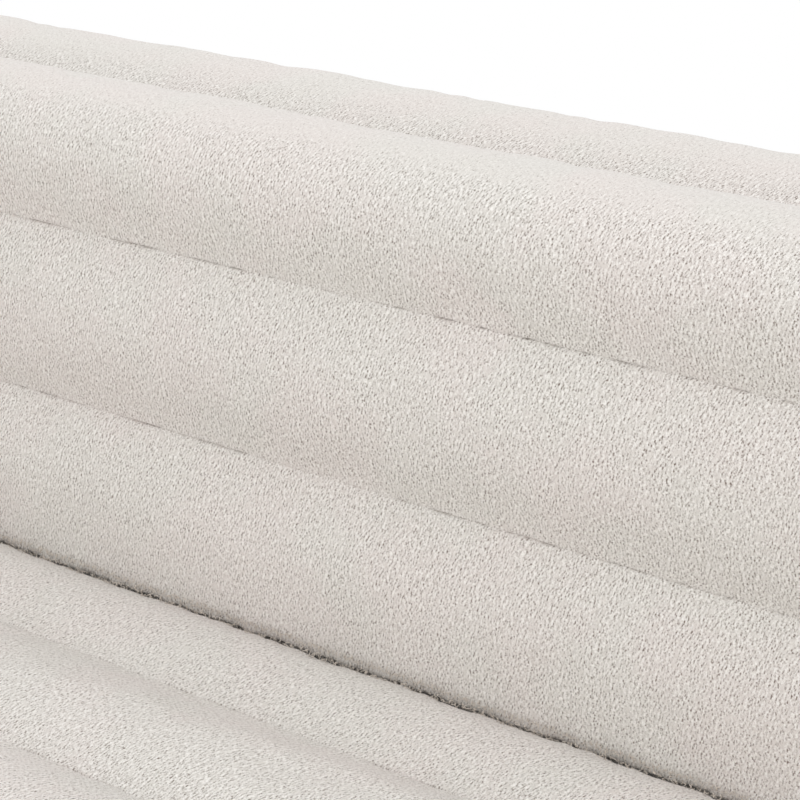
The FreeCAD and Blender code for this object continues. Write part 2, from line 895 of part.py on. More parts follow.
def make_dust_cover():
    """Cloth stapled over the underside, cut out round the leg plates."""
    half = arm_middle + half_wall - dust_cover_margin
    rear = back_middle + half_wall - dust_cover_margin
    front = arm_hip - half_wall + dust_cover_front_margin
    low = underside_height - dust_cover_thickness
    sheet = box(-half, half, front, rear, low, underside_height)
    corners = [edge for edge in sheet.Edges if edge.BoundBox.ZLength > dust_cover_thickness / 2
               and edge.BoundBox.YMin > 0]
    sheet = sheet.makeFillet(corner_radius - dust_cover_margin, corners)
    hole = leg_plate_size / 2 + dust_cover_hole_clearance
    holes = [box(x - hole, x + hole, y - hole, y + hole, low, underside_height)
             for x, y in leg_places()]
    save("dust_cover", [sheet.cut(holes)])


def main():
    os.makedirs("parts", exist_ok=True)
    make_seat_platform()
    make_back_frame()
    make_arm_frames()
    make_panels()
    make_back_webbing()
    make_suspension()
    make_deck()
    make_wall_foam()
    make_wall_covers()
    make_front_roll()
    make_cushion()
    make_zip()
    make_legs()
    make_dust_cover()


main()
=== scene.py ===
"""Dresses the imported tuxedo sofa: boucle covers over channelled foam, timber, springs and legs."""
import math

import bmesh
import bpy
import numpy as np
from bpy.props import FloatProperty, FloatVectorProperty, PointerProperty
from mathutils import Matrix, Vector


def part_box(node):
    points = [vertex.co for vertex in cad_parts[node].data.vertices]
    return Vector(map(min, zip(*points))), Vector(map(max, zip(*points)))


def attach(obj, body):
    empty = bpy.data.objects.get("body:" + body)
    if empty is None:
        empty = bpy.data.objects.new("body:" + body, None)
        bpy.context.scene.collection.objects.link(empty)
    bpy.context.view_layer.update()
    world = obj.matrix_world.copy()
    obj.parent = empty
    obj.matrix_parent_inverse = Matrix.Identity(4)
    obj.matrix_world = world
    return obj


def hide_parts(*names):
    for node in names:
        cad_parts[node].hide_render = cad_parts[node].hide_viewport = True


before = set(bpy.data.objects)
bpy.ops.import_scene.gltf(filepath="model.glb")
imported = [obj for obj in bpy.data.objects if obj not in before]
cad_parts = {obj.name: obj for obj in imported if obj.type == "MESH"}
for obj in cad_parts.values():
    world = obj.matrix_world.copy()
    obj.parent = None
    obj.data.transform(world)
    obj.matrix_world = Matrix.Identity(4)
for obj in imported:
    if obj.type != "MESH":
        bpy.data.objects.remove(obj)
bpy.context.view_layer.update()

bl_info = {
    "name": "Channelled Tuxedo Sofa",
    "version": (1, 0, 0),
    "blender": (4, 5, 0),
    "location": "View3D > Sidebar > Sofa",
    "description": "Builds the upholstery, timber, springs and stage of a channelled tuxedo sofa",
    "category": "Add Mesh",
}

# Sizes of the wall's section, as in the part's source
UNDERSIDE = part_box("outside_back_cover")[0].z
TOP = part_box("outside_back_cover")[1].z
RAIL_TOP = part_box("inside_back_cover")[0].z
PITCH = 0.125
CROWN = 0.020
HALF_WALL = 0.086
SHOULDER = 0.045
VALLEY_DROP = 0.023
TUCK_CROWN = 0.006
CORNER_SHIFT = 0.036
COVER = 0.002
FOAM_BASE = 0.061
TURN_UNDER = 0.046
FRAME_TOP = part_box("arm_top_board_right")[1].z
TOP_SEAM = UNDERSIDE + 4 * PITCH
TUCK_SEAM = TOP_SEAM - 2 * PITCH
VALLEY = TOP - VALLEY_DROP
REACH = HALF_WALL + CROWN
ARM_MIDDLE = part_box("outside_arm_cover_right")[1].x - REACH
BACK_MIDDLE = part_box("outside_back_cover")[1].y - REACH
ARM_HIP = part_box("arm_front_cover_right")[0].y + REACH

# Sizes of the seat
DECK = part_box("deck_cloth")[1].z
SEAT_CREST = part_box("front_rail_cover")[0].y
SEAT_SEAM = SEAT_CREST + CROWN
CUSHION_LOW, CUSHION_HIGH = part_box("seat_cushion_cover")
CUSHION_SHOULDER = 0.035
BOXING_RECESS = 0.0045
REAR_CHANNEL = 0.092
PRESS_START = 0.0044
PRESS_TURN = 0.0050
PRESS_SEAM = 0.090
PRESS_FACE = 0.1040


# The weave: columns of loops, staggered, that lean a little
WEAVE_WIDTH = 0.0043
WEAVE_HEIGHT = 0.0030
WEAVE_LEAN = 0.23
GAP_WIDTH = 0.00046
GAP_HEIGHT = 0.00125


# Smooth noise and small helpers

def ripple(x, y, size_x, size_y, seed):
    """Smooth noise from -1 to 1 with lumps of the given sizes."""
    table = np.random.default_rng(seed).uniform(-1, 1, (128, 128))
    place_x, place_y = np.asarray(x) / size_x, np.asarray(y) / size_y
    cell_x, cell_y = np.floor(place_x).astype(int), np.floor(place_y).astype(int)
    part_x, part_y = place_x - cell_x, place_y - cell_y
    ease_x = part_x * part_x * (3 - 2 * part_x)
    ease_y = part_y * part_y * (3 - 2 * part_y)
    corner = [[table[(cell_x + i) % 128, (cell_y + j) % 128] for j in (0, 1)] for i in (0, 1)]
    near = corner[0][0] + (corner[0][1] - corner[0][0]) * ease_y
    far = corner[1][0] + (corner[1][1] - corner[1][0]) * ease_y
    return near + (far - near) * ease_x


def eased(value, low, high):
    """0 below low, 1 above high, with a smooth step between."""
    share = np.clip((value - low) / (high - low), 0, 1)
    return share * share * (3 - 2 * share)


def spaced(length, widest, near=0.0004, growth=1.45):
    """Distances along a channel, close together at its two seams."""
    half, step = [0.0], near
    while half[-1] + step < length / 2:
        half.append(half[-1] + step)
        step = min(step * growth, widest)
    half = np.array(half) * (length / 2) / half[-1] if half[-1] > length * 0.45 else np.array(half)
    tail = length - half[::-1]
    return np.concatenate([half[half < length / 2 - 1e-6], [length / 2], tail[tail > length / 2 + 1e-6]])


# Sections: arcs given by centre, radius and two angles in degrees

def roll(low, high, crown, inset=0.0):
    half = (high - low) / 2
    radius = (half ** 2 + crown ** 2) / (2 * crown)
    spread = math.degrees(math.asin(half / (radius - inset)))
    return [(HALF_WALL + crown - radius, (low + high) / 2, radius - inset, -spread, spread)]


def top_roll(inset=0.0):
    across, up, radius, begin, _ = roll(TOP_SEAM, TOP_SEAM + PITCH, CROWN, inset)[0]
    full = radius + inset
    rise = TOP - SHOULDER - up
    tilt = math.degrees(math.asin(rise / (full - SHOULDER)))
    crest = across + (full - SHOULDER) * math.cos(math.radians(tilt))
    top = (crest ** 2 + VALLEY_DROP ** 2) / (2 * VALLEY_DROP)
    lean = math.degrees(math.asin(crest / (top - inset)))
    return [(across, up, radius, begin, tilt), (crest, up + rise, SHOULDER - inset, tilt, 90),
            (crest, TOP - top, top - inset, 90, 90 + lean)]


def channels(bottom, rows, inset=0.0):
    return [roll(bottom + row * PITCH, bottom + (row + 1) * PITCH, CROWN, inset)
            for row in range(rows)] + [top_roll(inset)]


def outer_channels(inset=0.0):
    return channels(UNDERSIDE, 4, inset)


def inner_channels(inset=0.0):
    """The inside: the tucked roll, the roll on the seat split at the crease, and the rest."""
    lowest, *others = channels(TUCK_SEAM, 2, inset)
    across, up, radius, begin, end = lowest[0]
    split = math.degrees(math.asin((TUCK_SEAM + PRESS_START - up) / radius))
    if begin > 90 or end > 90:
        split = 180 - split
    return [roll(RAIL_TOP, TUCK_SEAM, TUCK_CROWN, inset), [(across, up, radius, begin, split)],
            [(across, up, radius, split, end)]] + others


def resting_on_seat(place):
    """The lowest visible roll inside, filled out where it presses on the cushion."""
    out, up = place[:, 0], place[:, 1]
    rise = up - TUCK_SEAM
    turn = np.sqrt(np.clip(1 - (1 - np.clip((rise - PRESS_START) / PRESS_TURN, 0, 1)) ** 2, 0, 1))
    face = PRESS_SEAM + (PRESS_FACE - PRESS_SEAM) * turn + 0.0015 * eased(rise, 0.016, 0.055)
    pressed = (rise > 0) & (rise < PITCH / 2)
    return np.stack([np.where(pressed, np.maximum(out, face), out), up], 1)


def pressed_edge(angle):
    """Radius of the cushion's edge at an angle above level, where it is pressed square."""
    return np.interp(angle, (-29.4, -10, 0, 13.4, 24, 31, 35, 39, 44, 50.5, 57, 64.2, 75, 90),
                     np.array((35, 35.2, 35.9, 37.6, 39.7, 40.6, 39.9, 38.5, 37.0, 35.9, 35.3, 35.1, 35, 35)) * 0.001)


def along(arcs, distance):
    """Places and outward directions at distances along joined arcs."""
    lengths = [radius * math.radians(abs(end - begin)) for _, _, radius, begin, end in arcs]
    starts = np.concatenate([[0], np.cumsum(lengths)])
    index = np.clip(np.searchsorted(starts, distance, side="right") - 1, 0, len(arcs) - 1)
    table = np.array(arcs)[index]
    share = (distance - starts[index]) / np.array(lengths)[index]
    turn = np.radians(table[:, 3] + (table[:, 4] - table[:, 3]) * share)
    way = np.stack([np.cos(turn), np.sin(turn)], 1)
    return table[:, :2] + table[:, 2:3] * way, way, starts[-1]


class Section:
    """Rows of a cover's section: place, outward direction, length run, and distance to seams."""

    def __init__(self, sections, seams, widest=0.0046, reshape=None):
        """Each seam is the depth of its tuck, from the first edge to the last."""
        place, way, run, gap, share, depth = [], [], [], [], [], []
        passed = 0.0
        for index, arcs in enumerate(sections):
            length = along(arcs, np.array([0.0]))[2]
            distance = spaced(length, widest)
            spot, out, _ = along(arcs, distance)
            first = distance < length / 2
            keep = slice(0 if index == 0 else 1, None)
            place.append(spot[keep])
            way.append(out[keep])
            run.append((passed + distance)[keep])
            gap.append(np.minimum(distance, length - distance)[keep])
            share.append((distance / length)[keep])
            depth.append(np.where(first, seams[index], seams[index + 1])[keep])
            passed += length
        self.place, self.way = np.concatenate(place), np.concatenate(way)
        self.run, self.gap = np.concatenate(run), np.concatenate(gap)
        self.share, self.depth = np.concatenate(share), np.concatenate(depth)
        self.length = passed
        self.filled, self.crease = 0 * self.run, None
        if reshape is not None:
            shaped = reshape(self.place)
            self.filled = shaped[:, 0] - self.place[:, 0]
            self.place = shaped
            onward = np.gradient(self.place, axis=0)
            turned = np.stack([onward[:, 1], -onward[:, 0]], 1)
            turned *= np.sign(np.sum(turned * self.way, axis=1))[:, None]
            seam = (self.gap < 1e-9)[:, None]
            self.way = np.where(seam, self.way, turned / np.linalg.norm(turned, axis=1)[:, None])
        self.ease_seams()

    def ease_seams(self):
        """Turn the outward directions beside a seam towards the seam's own direction."""
        seam = np.flatnonzero(self.gap < 1e-9)
        for row in seam:
            if 0 < row < len(self.gap) - 1:
                middle = self.way[row - 1] + self.way[row + 1]
                middle /= np.linalg.norm(middle)
                near = np.abs(self.run - self.run[row])
                pull = np.exp(-near / 0.009)[:, None] * (near < 0.04)[:, None]
                self.way = self.way * (1 - pull) + middle * pull
        self.way /= np.linalg.norm(self.way, axis=1)[:, None]


# Runs of wall in plan, laid out as in the part's source

class Run:
    """A run of wall along its own X with its face towards +Y, then turned and moved."""

    def __init__(self, length, begin, end, turn, x, y, mirrored=False):
        """begin and end are 'mitre', or the angle a rounded end turns through."""
        self.length, self.begin, self.end = length, begin, end
        self.turn, self.x, self.y, self.mirrored = math.radians(turn), x, y, mirrored

    def reach(self, kind, out):
        if kind == "mitre":
            return -out
        return np.minimum(out, CORNER_SHIFT) + np.maximum(out - CORNER_SHIFT, 0) * math.radians(kind)

    def ends(self, out):
        return -self.reach(self.begin, out), self.length + self.reach(self.end, out)

    def plan(self, t, out):
        """Where a distance along the run, and out from its middle plane, comes to lie."""
        across, depth = t.copy(), out.copy()
        beyond = np.maximum(out - CORNER_SHIFT, 1e-6)
        for kind, past, place, way in ((self.begin, -CORNER_SHIFT - t, -CORNER_SHIFT, -1),
                                       (self.end, t - self.length - CORNER_SHIFT,
                                        self.length + CORNER_SHIFT, 1)):
            if kind != "mitre" and kind:
                bent = (past > 0) & (out > CORNER_SHIFT)
                angle = past / beyond
                across = np.where(bent, place + way * beyond * np.sin(angle), across)
                depth = np.where(bent, CORNER_SHIFT + beyond * np.cos(angle), depth)
        x = self.x + across * math.cos(self.turn) - depth * math.sin(self.turn)
        y = self.y + across * math.sin(self.turn) + depth * math.cos(self.turn)
        return (-x if self.mirrored else x), y


ARM_RUN = BACK_MIDDLE - ARM_HIP
BACK_RUN = 2 * ARM_MIDDLE


def runs():
    """The runs of wall by the name of the cover on each."""
    table = {
        "outside_back": (BACK_RUN, 45, 45, 0, -ARM_MIDDLE, BACK_MIDDLE),
        "inside_back": (BACK_RUN, "mitre", "mitre", 180, ARM_MIDDLE, BACK_MIDDLE),
    }
    made = {name: Run(*values) for name, values in table.items()}
    for side, mirrored in (("right", False), ("left", True)):
        made["outside_arm_" + side] = Run(ARM_RUN, 45, 0, -90, ARM_MIDDLE, BACK_MIDDLE, mirrored)
        made["inside_arm_" + side] = Run(ARM_RUN, 0, "mitre", 90, ARM_MIDDLE, ARM_HIP, mirrored)
        made["arm_front_" + side] = Run(0.0, 90, 90, 180, ARM_MIDDLE, ARM_HIP, mirrored)
    return made


# Meshes

def grid_mesh(name, patches, closed=False, kept=None):
    """One mesh from grids of points, each with its own length-true cloth coordinates."""
    corners, loops, cloth, count = [], [], [], 0
    for points, uv, flip in patches:
        rows, columns = points.shape[:2]
        number = np.arange(rows * columns).reshape(rows, columns) + count
        quad = [number[:-1, :-1], number[1:, :-1], number[1:, 1:], number[:-1, 1:]]
        order = quad[::-1] if flip else quad
        cells = np.stack([part.ravel() for part in order], 1)
        loops.append(cells[kept.ravel()].ravel() if kept is not None else cells.ravel())
        corners.append(points.reshape(-1, 3))
        cloth.append(uv.reshape(-1, 2))
        count += rows * columns
    corners, loops, cloth = np.concatenate(corners), np.concatenate(loops), np.concatenate(cloth)
    mesh = bpy.data.meshes.new(name)
    mesh.vertices.add(len(corners))
    mesh.vertices.foreach_set("co", corners.astype(np.float32).ravel())
    mesh.loops.add(len(loops))
    mesh.loops.foreach_set("vertex_index", loops.astype(np.int32))
    mesh.polygons.add(len(loops) // 4)
    mesh.polygons.foreach_set("loop_start", np.arange(0, len(loops), 4, dtype=np.int32))
    mesh.update(calc_edges=True)
    layer = mesh.uv_layers.new(name="Cloth")
    layer.data.foreach_set("uv", cloth[loops].astype(np.float32).ravel())
    if len(patches) > 1 or kept is not None:
        work = bmesh.new()
        work.from_mesh(mesh)
        bmesh.ops.remove_doubles(work, verts=work.verts, dist=2e-5)
        bmesh.ops.delete(work, geom=[vert for vert in work.verts if not vert.link_faces], context="VERTS")
        if closed:
            bmesh.ops.recalc_face_normals(work, faces=work.faces)
        work.to_mesh(mesh)
        work.free()
    mesh.shade_smooth()
    return mesh


def strap(across, half, along_it, place):
    """Grids for a closed strap: across it, its half thickness there, and stations along it."""
    side = np.concatenate([across, across[::-1], across[:1]])
    off = np.concatenate([half, -half[::-1], half[:1]])
    girth = np.concatenate([[0], np.cumsum(np.hypot(np.diff(side), np.diff(off)))])
    shell = place(side[:, None] + 0 * along_it, off[:, None] + 0 * along_it, along_it + 0 * side[:, None])
    uv = np.stack([girth[:, None] + 0 * along_it, along_it + 0 * girth[:, None]], 2)
    patches = [(shell, uv, False)]
    for end in (along_it[0], along_it[-1]):
        both = np.stack([half, -half])
        cap = place(across + 0 * both, both, end + 0 * both)
        patches.append((cap, np.stack([across + 0 * both, both + end], 2), False))
    return patches


def put(name, mesh, material, body="sofa_frame", stands_for=(), sheet=None):
    """Add a finished piece to the scene, on its body."""
    piece = bpy.data.objects.new(name, mesh)
    bpy.context.scene.collection.objects.link(piece)
    mesh.materials.clear()
    mesh.materials.append(material)
    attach(piece, body)
    if stands_for:
        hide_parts(*stands_for)
    if sheet:
        thickness = sheet.pop("thickness")
        wall = piece.modifiers.new("thickness", "SOLIDIFY")
        wall.thickness, wall.offset = thickness, 0.0
    return piece


class Pattern:
    """A Geometry Nodes tree with named sizes that sets a small shape along a path, run once."""

    def __init__(self, name, **sizes):
        self.tree = bpy.data.node_groups.new(name, "GeometryNodeTree")
        sockets = self.tree.interface
        sockets.new_socket("Path", in_out="INPUT", socket_type="NodeSocketGeometry")
        self.given = []
        for label, value in sizes.items():
            kind = "NodeSocketInt" if isinstance(value, int) else "NodeSocketFloat"
            made = sockets.new_socket(label.capitalize(), in_out="INPUT", socket_type=kind)
            self.given.append((made.identifier, value))
        sockets.new_socket("Pieces", in_out="OUTPUT", socket_type="NodeSocketGeometry")
        self.begin = self.tree.nodes.new("NodeGroupInput")
        self.end = self.tree.nodes.new("NodeGroupOutput")

    def size(self, label):
        return self.begin.outputs[label]

    def node(self, kind, sockets=None, output=0, **settings):
        made = self.tree.nodes.new(kind)
        for key, value in settings.items():
            setattr(made, key, value)
        for key, value in (sockets or {}).items():
            if isinstance(value, bpy.types.NodeSocket):
                self.tree.links.new(value, made.inputs[key])
            else:
                made.inputs[key].default_value = value
        return made.outputs[output]

    def times(self, first, second):
        return self.node("ShaderNodeMath", {0: first, 1: second}, operation="MULTIPLY")

    def vector(self, x=0.0, y=0.0, z=0.0):
        return self.node("ShaderNodeCombineXYZ", {0: x, 1: y, 2: z})

    def stations(self, shift=None):
        curve = self.node("GeometryNodeMeshToCurve", {"Mesh": self.size("Path")})
        even = self.node("GeometryNodeResampleCurve", {"Curve": curve, "Length": self.size("Spacing")}, mode="LENGTH")
        return even if shift is None else self.node("GeometryNodeSetPosition", {"Geometry": even, "Offset": shift})

    def heading(self):
        return self.node("FunctionNodeAlignRotationToVector", {"Vector": self.node("GeometryNodeInputTangent")},
                         axis="X", pivot_axis="Z")

    def bent_thread(self):
        """A short thread from end to end of its length, that rises in the middle."""
        half, rise = self.times(self.size("Length"), 0.5), self.size("Rise")
        line = self.node("GeometryNodeCurveQuadraticBezier", {
            "Resolution": 4, "Start": self.vector(self.times(half, -1.0)), "Middle": self.vector(0.0, 0.0, rise),
            "End": self.vector(half)})
        ring = self.node("GeometryNodeCurvePrimitiveCircle", {"Resolution": 4, "Radius": self.size("Radius")})
        return self.node("GeometryNodeCurveToMesh", {"Curve": line, "Profile Curve": ring, "Fill Caps": True})

    def random(self, low, high, seed_step=0):
        seed = self.node("ShaderNodeMath", {0: self.size("Seed"), 1: float(seed_step)}, operation="ADD")
        made = self.tree.nodes.new("FunctionNodeRandomValue")
        made.data_type = "FLOAT_VECTOR"
        made.inputs[0].default_value, made.inputs[1].default_value = low, high
        self.tree.links.new(seed, made.inputs["Seed"])
        return made.outputs[0]

    def placed(self, stations, shape, rotation=None, scale=None):
        sockets = {"Points": stations, "Instance": shape}
        if rotation is not None:
            sockets["Rotation"] = rotation
        if scale is not None:
            sockets["Scale"] = scale
        return self.node("GeometryNodeInstanceOnPoints", sockets)

    def run(self, pieces, path, surface):
        """The plain mesh that the tree makes of a path, a list of lines of points."""
        real = self.node("GeometryNodeRealizeInstances", {"Geometry": pieces})
        done = self.node("GeometryNodeSetMaterial", {"Geometry": real, "Material": surface})
        self.tree.links.new(done, self.end.inputs[0])
        points, edges = [], []
        for line in path:
            edges += [(len(points) + k, len(points) + k + 1) for k in range(len(line) - 1)]
            points += [tuple(point) for point in line]
        source = bpy.data.meshes.new(self.tree.name + "_path")
        source.from_pydata(points, edges, [])
        holder = bpy.data.objects.new(self.tree.name, source)
        bpy.context.scene.collection.objects.link(holder)
        modifier = holder.modifiers.new("pattern", "NODES")
        modifier.node_group = self.tree
        for identifier, value in self.given:
            modifier[identifier] = value
        made = holder.evaluated_get(bpy.context.evaluated_depsgraph_get())
        mesh = bpy.data.meshes.new_from_object(made)
        bpy.data.objects.remove(holder)
        if not len(mesh.polygons):
            raise RuntimeError("no pieces came from " + self.tree.name)
        mesh.name = self.tree.name
        mesh.shade_smooth()
        return mesh


def swept_solid(name, loop, run, step=0.06):
    """A closed loop of (out, up) points drawn along a run, with flat ends."""
    loop = np.array(loop)
    count = max(int((run.length + 0.2) / step), 8)
    share = np.linspace(0, 1, count)[None, :]
    out = np.repeat(loop[:, :1], count, 1)
    first, last = run.ends(out)
    x, y = run.plan(first + (last - first) * share, out)
    points = np.stack([x, y, np.repeat(loop[:, 1:], count, 1)], 2)
    work = bmesh.new()
    verts = [[work.verts.new(point) for point in row] for row in points]
    rows = len(verts)
    for i in range(rows):
        for j in range(count - 1):
            quad = [verts[i][j], verts[(i + 1) % rows][j], verts[(i + 1) % rows][j + 1], verts[i][j + 1]]
            work.faces.new(quad)
    work.faces.new([row[0] for row in reversed(verts)])
    work.faces.new([row[-1] for row in verts])
    bmesh.ops.recalc_face_normals(work, faces=work.faces)
    mesh = bpy.data.meshes.new(name)
    work.to_mesh(mesh)
    work.free()
    return mesh


# Materials

class Wire:
    """A shader socket that takes part in arithmetic."""

    def __init__(self, paint, socket):
        self.paint, self.socket = paint, socket

    def sum(self, operation, first, second):
        return self.paint.node("Math", {0: first, 1: second}, operation=operation)

    def __add__(self, other): return self.sum("ADD", self, other)
    def __radd__(self, other): return self.sum("ADD", other, self)
    def __sub__(self, other): return self.sum("SUBTRACT", self, other)
    def __rsub__(self, other): return self.sum("SUBTRACT", other, self)
    def __mul__(self, other): return self.sum("MULTIPLY", self, other)
    def __rmul__(self, other): return self.sum("MULTIPLY", other, self)
    def __truediv__(self, other): return self.sum("DIVIDE", self, other)
    def __rtruediv__(self, other): return self.sum("DIVIDE", other, self)
    def __pow__(self, other): return self.sum("POWER", self, other)

    def step(self, low, high):
        """0 at low, 1 at high, smooth between."""
        return self.paint.node("MapRange", {"Value": self, "From Min": low, "From Max": high},
                               interpolation_type="SMOOTHSTEP")


class Paint:
    """A material and the ways to add nodes to it."""

    def __init__(self, name, **constants):
        self.material = bpy.data.materials.new(name)
        self.material.use_nodes = True
        self.tree = self.material.node_tree
        self.surface = self.tree.nodes["Principled BSDF"]
        for key, value in constants.items():
            self.surface.inputs[key.replace("_", " ")].default_value = value

    def node(self, kind, sockets=None, output=0, stops=None, **settings):
        made = self.tree.nodes.new("ShaderNode" + kind)
        for key, value in settings.items():
            setattr(made, key, value)
        if stops:
            ramp = made.color_ramp
            while len(ramp.elements) < len(stops):
                ramp.elements.new(0.5)
            for element, (place, colour) in zip(ramp.elements, stops):
                element.position, element.color = place, (*colour, 1)
        for key, value in (sockets or {}).items():
            self.feed(made.inputs[key], value)
        return made if output is None else Wire(self, made.outputs[output])

    def feed(self, socket, value):
        if isinstance(value, Wire):
            self.tree.links.new(value.socket, socket)
        else:
            socket.default_value = value

    def mix(self, share, first, second, blend="MIX"):
        first, second = ((*c, 1) if isinstance(c, (tuple, list)) and len(c) == 3 else c
                         for c in (first, second))
        return self.node("Mix", {0: share, 6: first, 7: second}, output=2, data_type="RGBA",
                         blend_type=blend)

    def cloth(self, scale_u=1.0, scale_v=1.0, wander=None, amount=0.0):
        """The piece's own length-true coordinates, stretched, with an optional wander."""
        uv = self.node("UVMap", uv_map="Cloth")
        if wander is not None:
            centred = self.node("VectorMath", {0: wander, 1: (0.5, 0.5, 0.5)}, operation="SUBTRACT")
            moved = self.node("VectorMath", {0: centred, 3: amount}, operation="SCALE")
            uv = self.node("VectorMath", {0: uv, 1: moved}, operation="ADD")
        return self.node("VectorMath", {0: uv, 1: (scale_u, scale_v, 1)}, operation="MULTIPLY")

    def split(self, vector):
        parts = self.node("SeparateXYZ", {0: vector}, output=None)
        return [Wire(self, part) for part in parts.outputs]

    def object(self, scale=(1, 1, 1)):
        place = self.node("TexCoord", output="Object")
        return self.node("VectorMath", {0: place, 1: scale}, operation="MULTIPLY")

    def noise(self, vector, scale=1.0, detail=2.0, output=0, roughness=0.5):
        return self.node("TexNoise", {"Vector": vector, "Scale": scale, "Detail": detail,
                                      "Roughness": roughness}, output=output)

    def finish(self, colour=None, roughness=None, height=None, depth=0.001, strength=1.0):
        if colour is not None:
            self.feed(self.surface.inputs["Base Color"], colour)
        if roughness is not None:
            self.feed(self.surface.inputs["Roughness"], roughness)
        if height is not None:
            bump = self.node("Bump", {"Height": height, "Distance": depth, "Strength": strength})
            self.feed(self.surface.inputs["Normal"], bump)
        return self.material


def linear(red, green, blue):
    """A screen colour, 0 to 255, as the linear colour that shaders take."""
    return tuple(((part / 255 + 0.055) / 1.055) ** 2.4 if part > 10 else part / 3294.6
                 for part in (red, green, blue))


def boucle_material(colours):
    """Loops in staggered columns with dark gaps between them, under soft pale slubs; the pale crowns are partly the
    yarn's own paler loops and partly painted highlight, the dark gaps partly the weave and partly painted shade.
    """
    paint = Paint("boucle_off_white", Roughness=0.95, Sheen_Weight=0.32, Sheen_Roughness=0.5,
                  Specular_IOR_Level=0.12)
    plain = paint.cloth()
    drift = paint.noise(plain, 70.0, 2.0, output="Color")
    place = paint.split(paint.cloth(wander=drift, amount=0.0026))
    lean = place[0] - place[1] * WEAVE_LEAN
    first, second = lean / WEAVE_WIDTH, place[1] / WEAVE_HEIGHT
    lattice = paint.node("CombineXYZ", {0: first + second, 1: first - second})
    cell = paint.node("TexVoronoi", {"Vector": lattice, "Scale": 1.0, "Randomness": 0.70},
                      output=None, voronoi_dimensions="2D")
    centre = paint.split(Wire(paint, cell.outputs["Position"]))
    chance = paint.split(Wire(paint, cell.outputs["Color"]))
    off_first = (first + second) - centre[0]
    off_second = (first - second) - centre[1]
    across = (off_first + off_second) * (WEAVE_WIDTH / 2 / GAP_WIDTH)
    up = (off_first - off_second) * (WEAVE_HEIGHT / 2 / GAP_HEIGHT)
    # Painted shade, in part: the gaps between the loops are painted dark as well as set low in the bump.
    gap = 1 - (across * across + up * up).step(0.1, 1.7)
    # Painted highlight, in part: the crowns of the loops are painted paler than the ground.
    crown = (across * across).step(1.0, 5.5)
    fine = paint.noise(paint.cloth(1500.0, 900.0), 1.0, 1.0)
    thread = paint.noise(paint.cloth(620.0, 330.0, wander=drift, amount=0.002), 1.0, 2.0)
    slub = paint.noise(paint.cloth(210.0, 170.0, wander=drift, amount=0.01), 1.0, 1.2)
    # Painted sheen: from 14 mm under the top of the walls upward, the cloth is painted paler and its loops and gaps
    # fainter, standing in for the sheen of the pile seen edge-on there.
    height = paint.split(paint.object())[2]
    painted_top_sheen = height.step(TOP - 0.014, TOP - 0.001)
    # bare: where the loops and gaps show, less under slubs and under the painted top sheen.
    bare = (1 - 0.7 * slub.step(0.55, 0.68)) * (1 - 0.6 * painted_top_sheen)
    patch = paint.noise(plain, 34.0, 2.0).step(0.30, 0.60)
    # mark: the painted shade of the gaps, varied by chance and in patches, less under slubs.
    mark = gap * (0.25 + 0.75 * chance[0]) * (0.55 + 0.45 * patch) * bare
    grain = (fine - 0.5) * 3.4 + (thread - 0.5) * 2.6
    # The last term lightens the tops with the painted sheen.
    tone = 0.5 * crown * bare + grain * (0.4 + 0.6 * bare) - 0.57 * mark + 0.06 * painted_top_sheen
    tint = paint.noise(plain, 10.0, 3.0)
    ground = paint.mix(tint.step(0.4, 0.6), linear(*colours.fabric_cool), linear(*colours.fabric_warm))
    pale = paint.mix(tone.step(0.0, 1.2), ground, linear(*colours.fabric_loop))
    colour = paint.mix((0 - tone).step(0.0, 1.2), pale, linear(*colours.fabric_gap))
    relief = (1 - gap * bare) + slub * 0.8 + fine * 0.35
    return paint.finish(colour, None, relief, 0.0008, 0.6)


def foam_material(colours):
    paint = Paint("foam_cream", Roughness=0.95)
    place = paint.object()
    pores = paint.node("TexVoronoi", {"Vector": place, "Scale": 700.0}).step(0.1, 0.5)
    tone = paint.noise(place, 14.0, 3.0)
    colour = paint.mix(pores, linear(214, 196, 150), linear(238, 226, 190))
    colour = paint.mix(tone * 0.35, colour, linear(228, 208, 160))
    return paint.finish(colour, None, pores, 0.0006, 0.6)


def timber_material(name, pale, dark, rough, grain=1.0):
    paint = Paint(name, Roughness=rough)
    place = paint.object((1.0, 9.0, 9.0))
    sway = paint.noise(place, 1.6, 3.0, output="Color")
    bent = paint.node("VectorMath", {0: place, 1: sway}, operation="ADD")
    rings = paint.node("TexWave", {"Vector": bent, "Scale": 2.2 * grain, "Distortion": 3.5, "Detail": 3.0},
                       wave_type="RINGS", rings_direction="X", output=1)
    pores = paint.noise(paint.object((40.0, 900.0, 900.0)), 1.0, 3.0)
    colour = paint.mix(rings * 0.75, pale, dark)
    colour = paint.mix(pores.step(0.55, 0.75) * 0.5, colour, dark)
    return paint.finish(colour, rough + rings * 0.08, pores + rings * 0.4, 0.0003, 0.5)


def leg_material(colours):
    paint = Paint("leg_dark_oak", Roughness=0.42, Coat_Weight=0.15, Coat_Roughness=0.3)
    place = paint.object((16.0, 16.0, 1.6))
    sway = paint.noise(place, 1.3, 3.0, output="Color")
    bent = paint.node("VectorMath", {0: place, 1: sway}, operation="ADD")
    rings = paint.node("TexWave", {"Vector": bent, "Scale": 2.4, "Distortion": 5.0, "Detail": 4.0},
                       wave_type="BANDS", bands_direction="X", output=1)
    pores = paint.noise(paint.object((1100.0, 1100.0, 45.0)), 1.0, 3.0)
    dark, pale = linear(*colours.leg_dark), linear(*colours.leg_pale)
    colour = paint.mix(rings, dark, pale)
    colour = paint.mix(pores.step(0.52, 0.68) * 0.6, colour, tuple(part * 0.5 for part in dark))
    return paint.finish(colour, 0.36 + pores * 0.16, pores, 0.0002, 0.5)


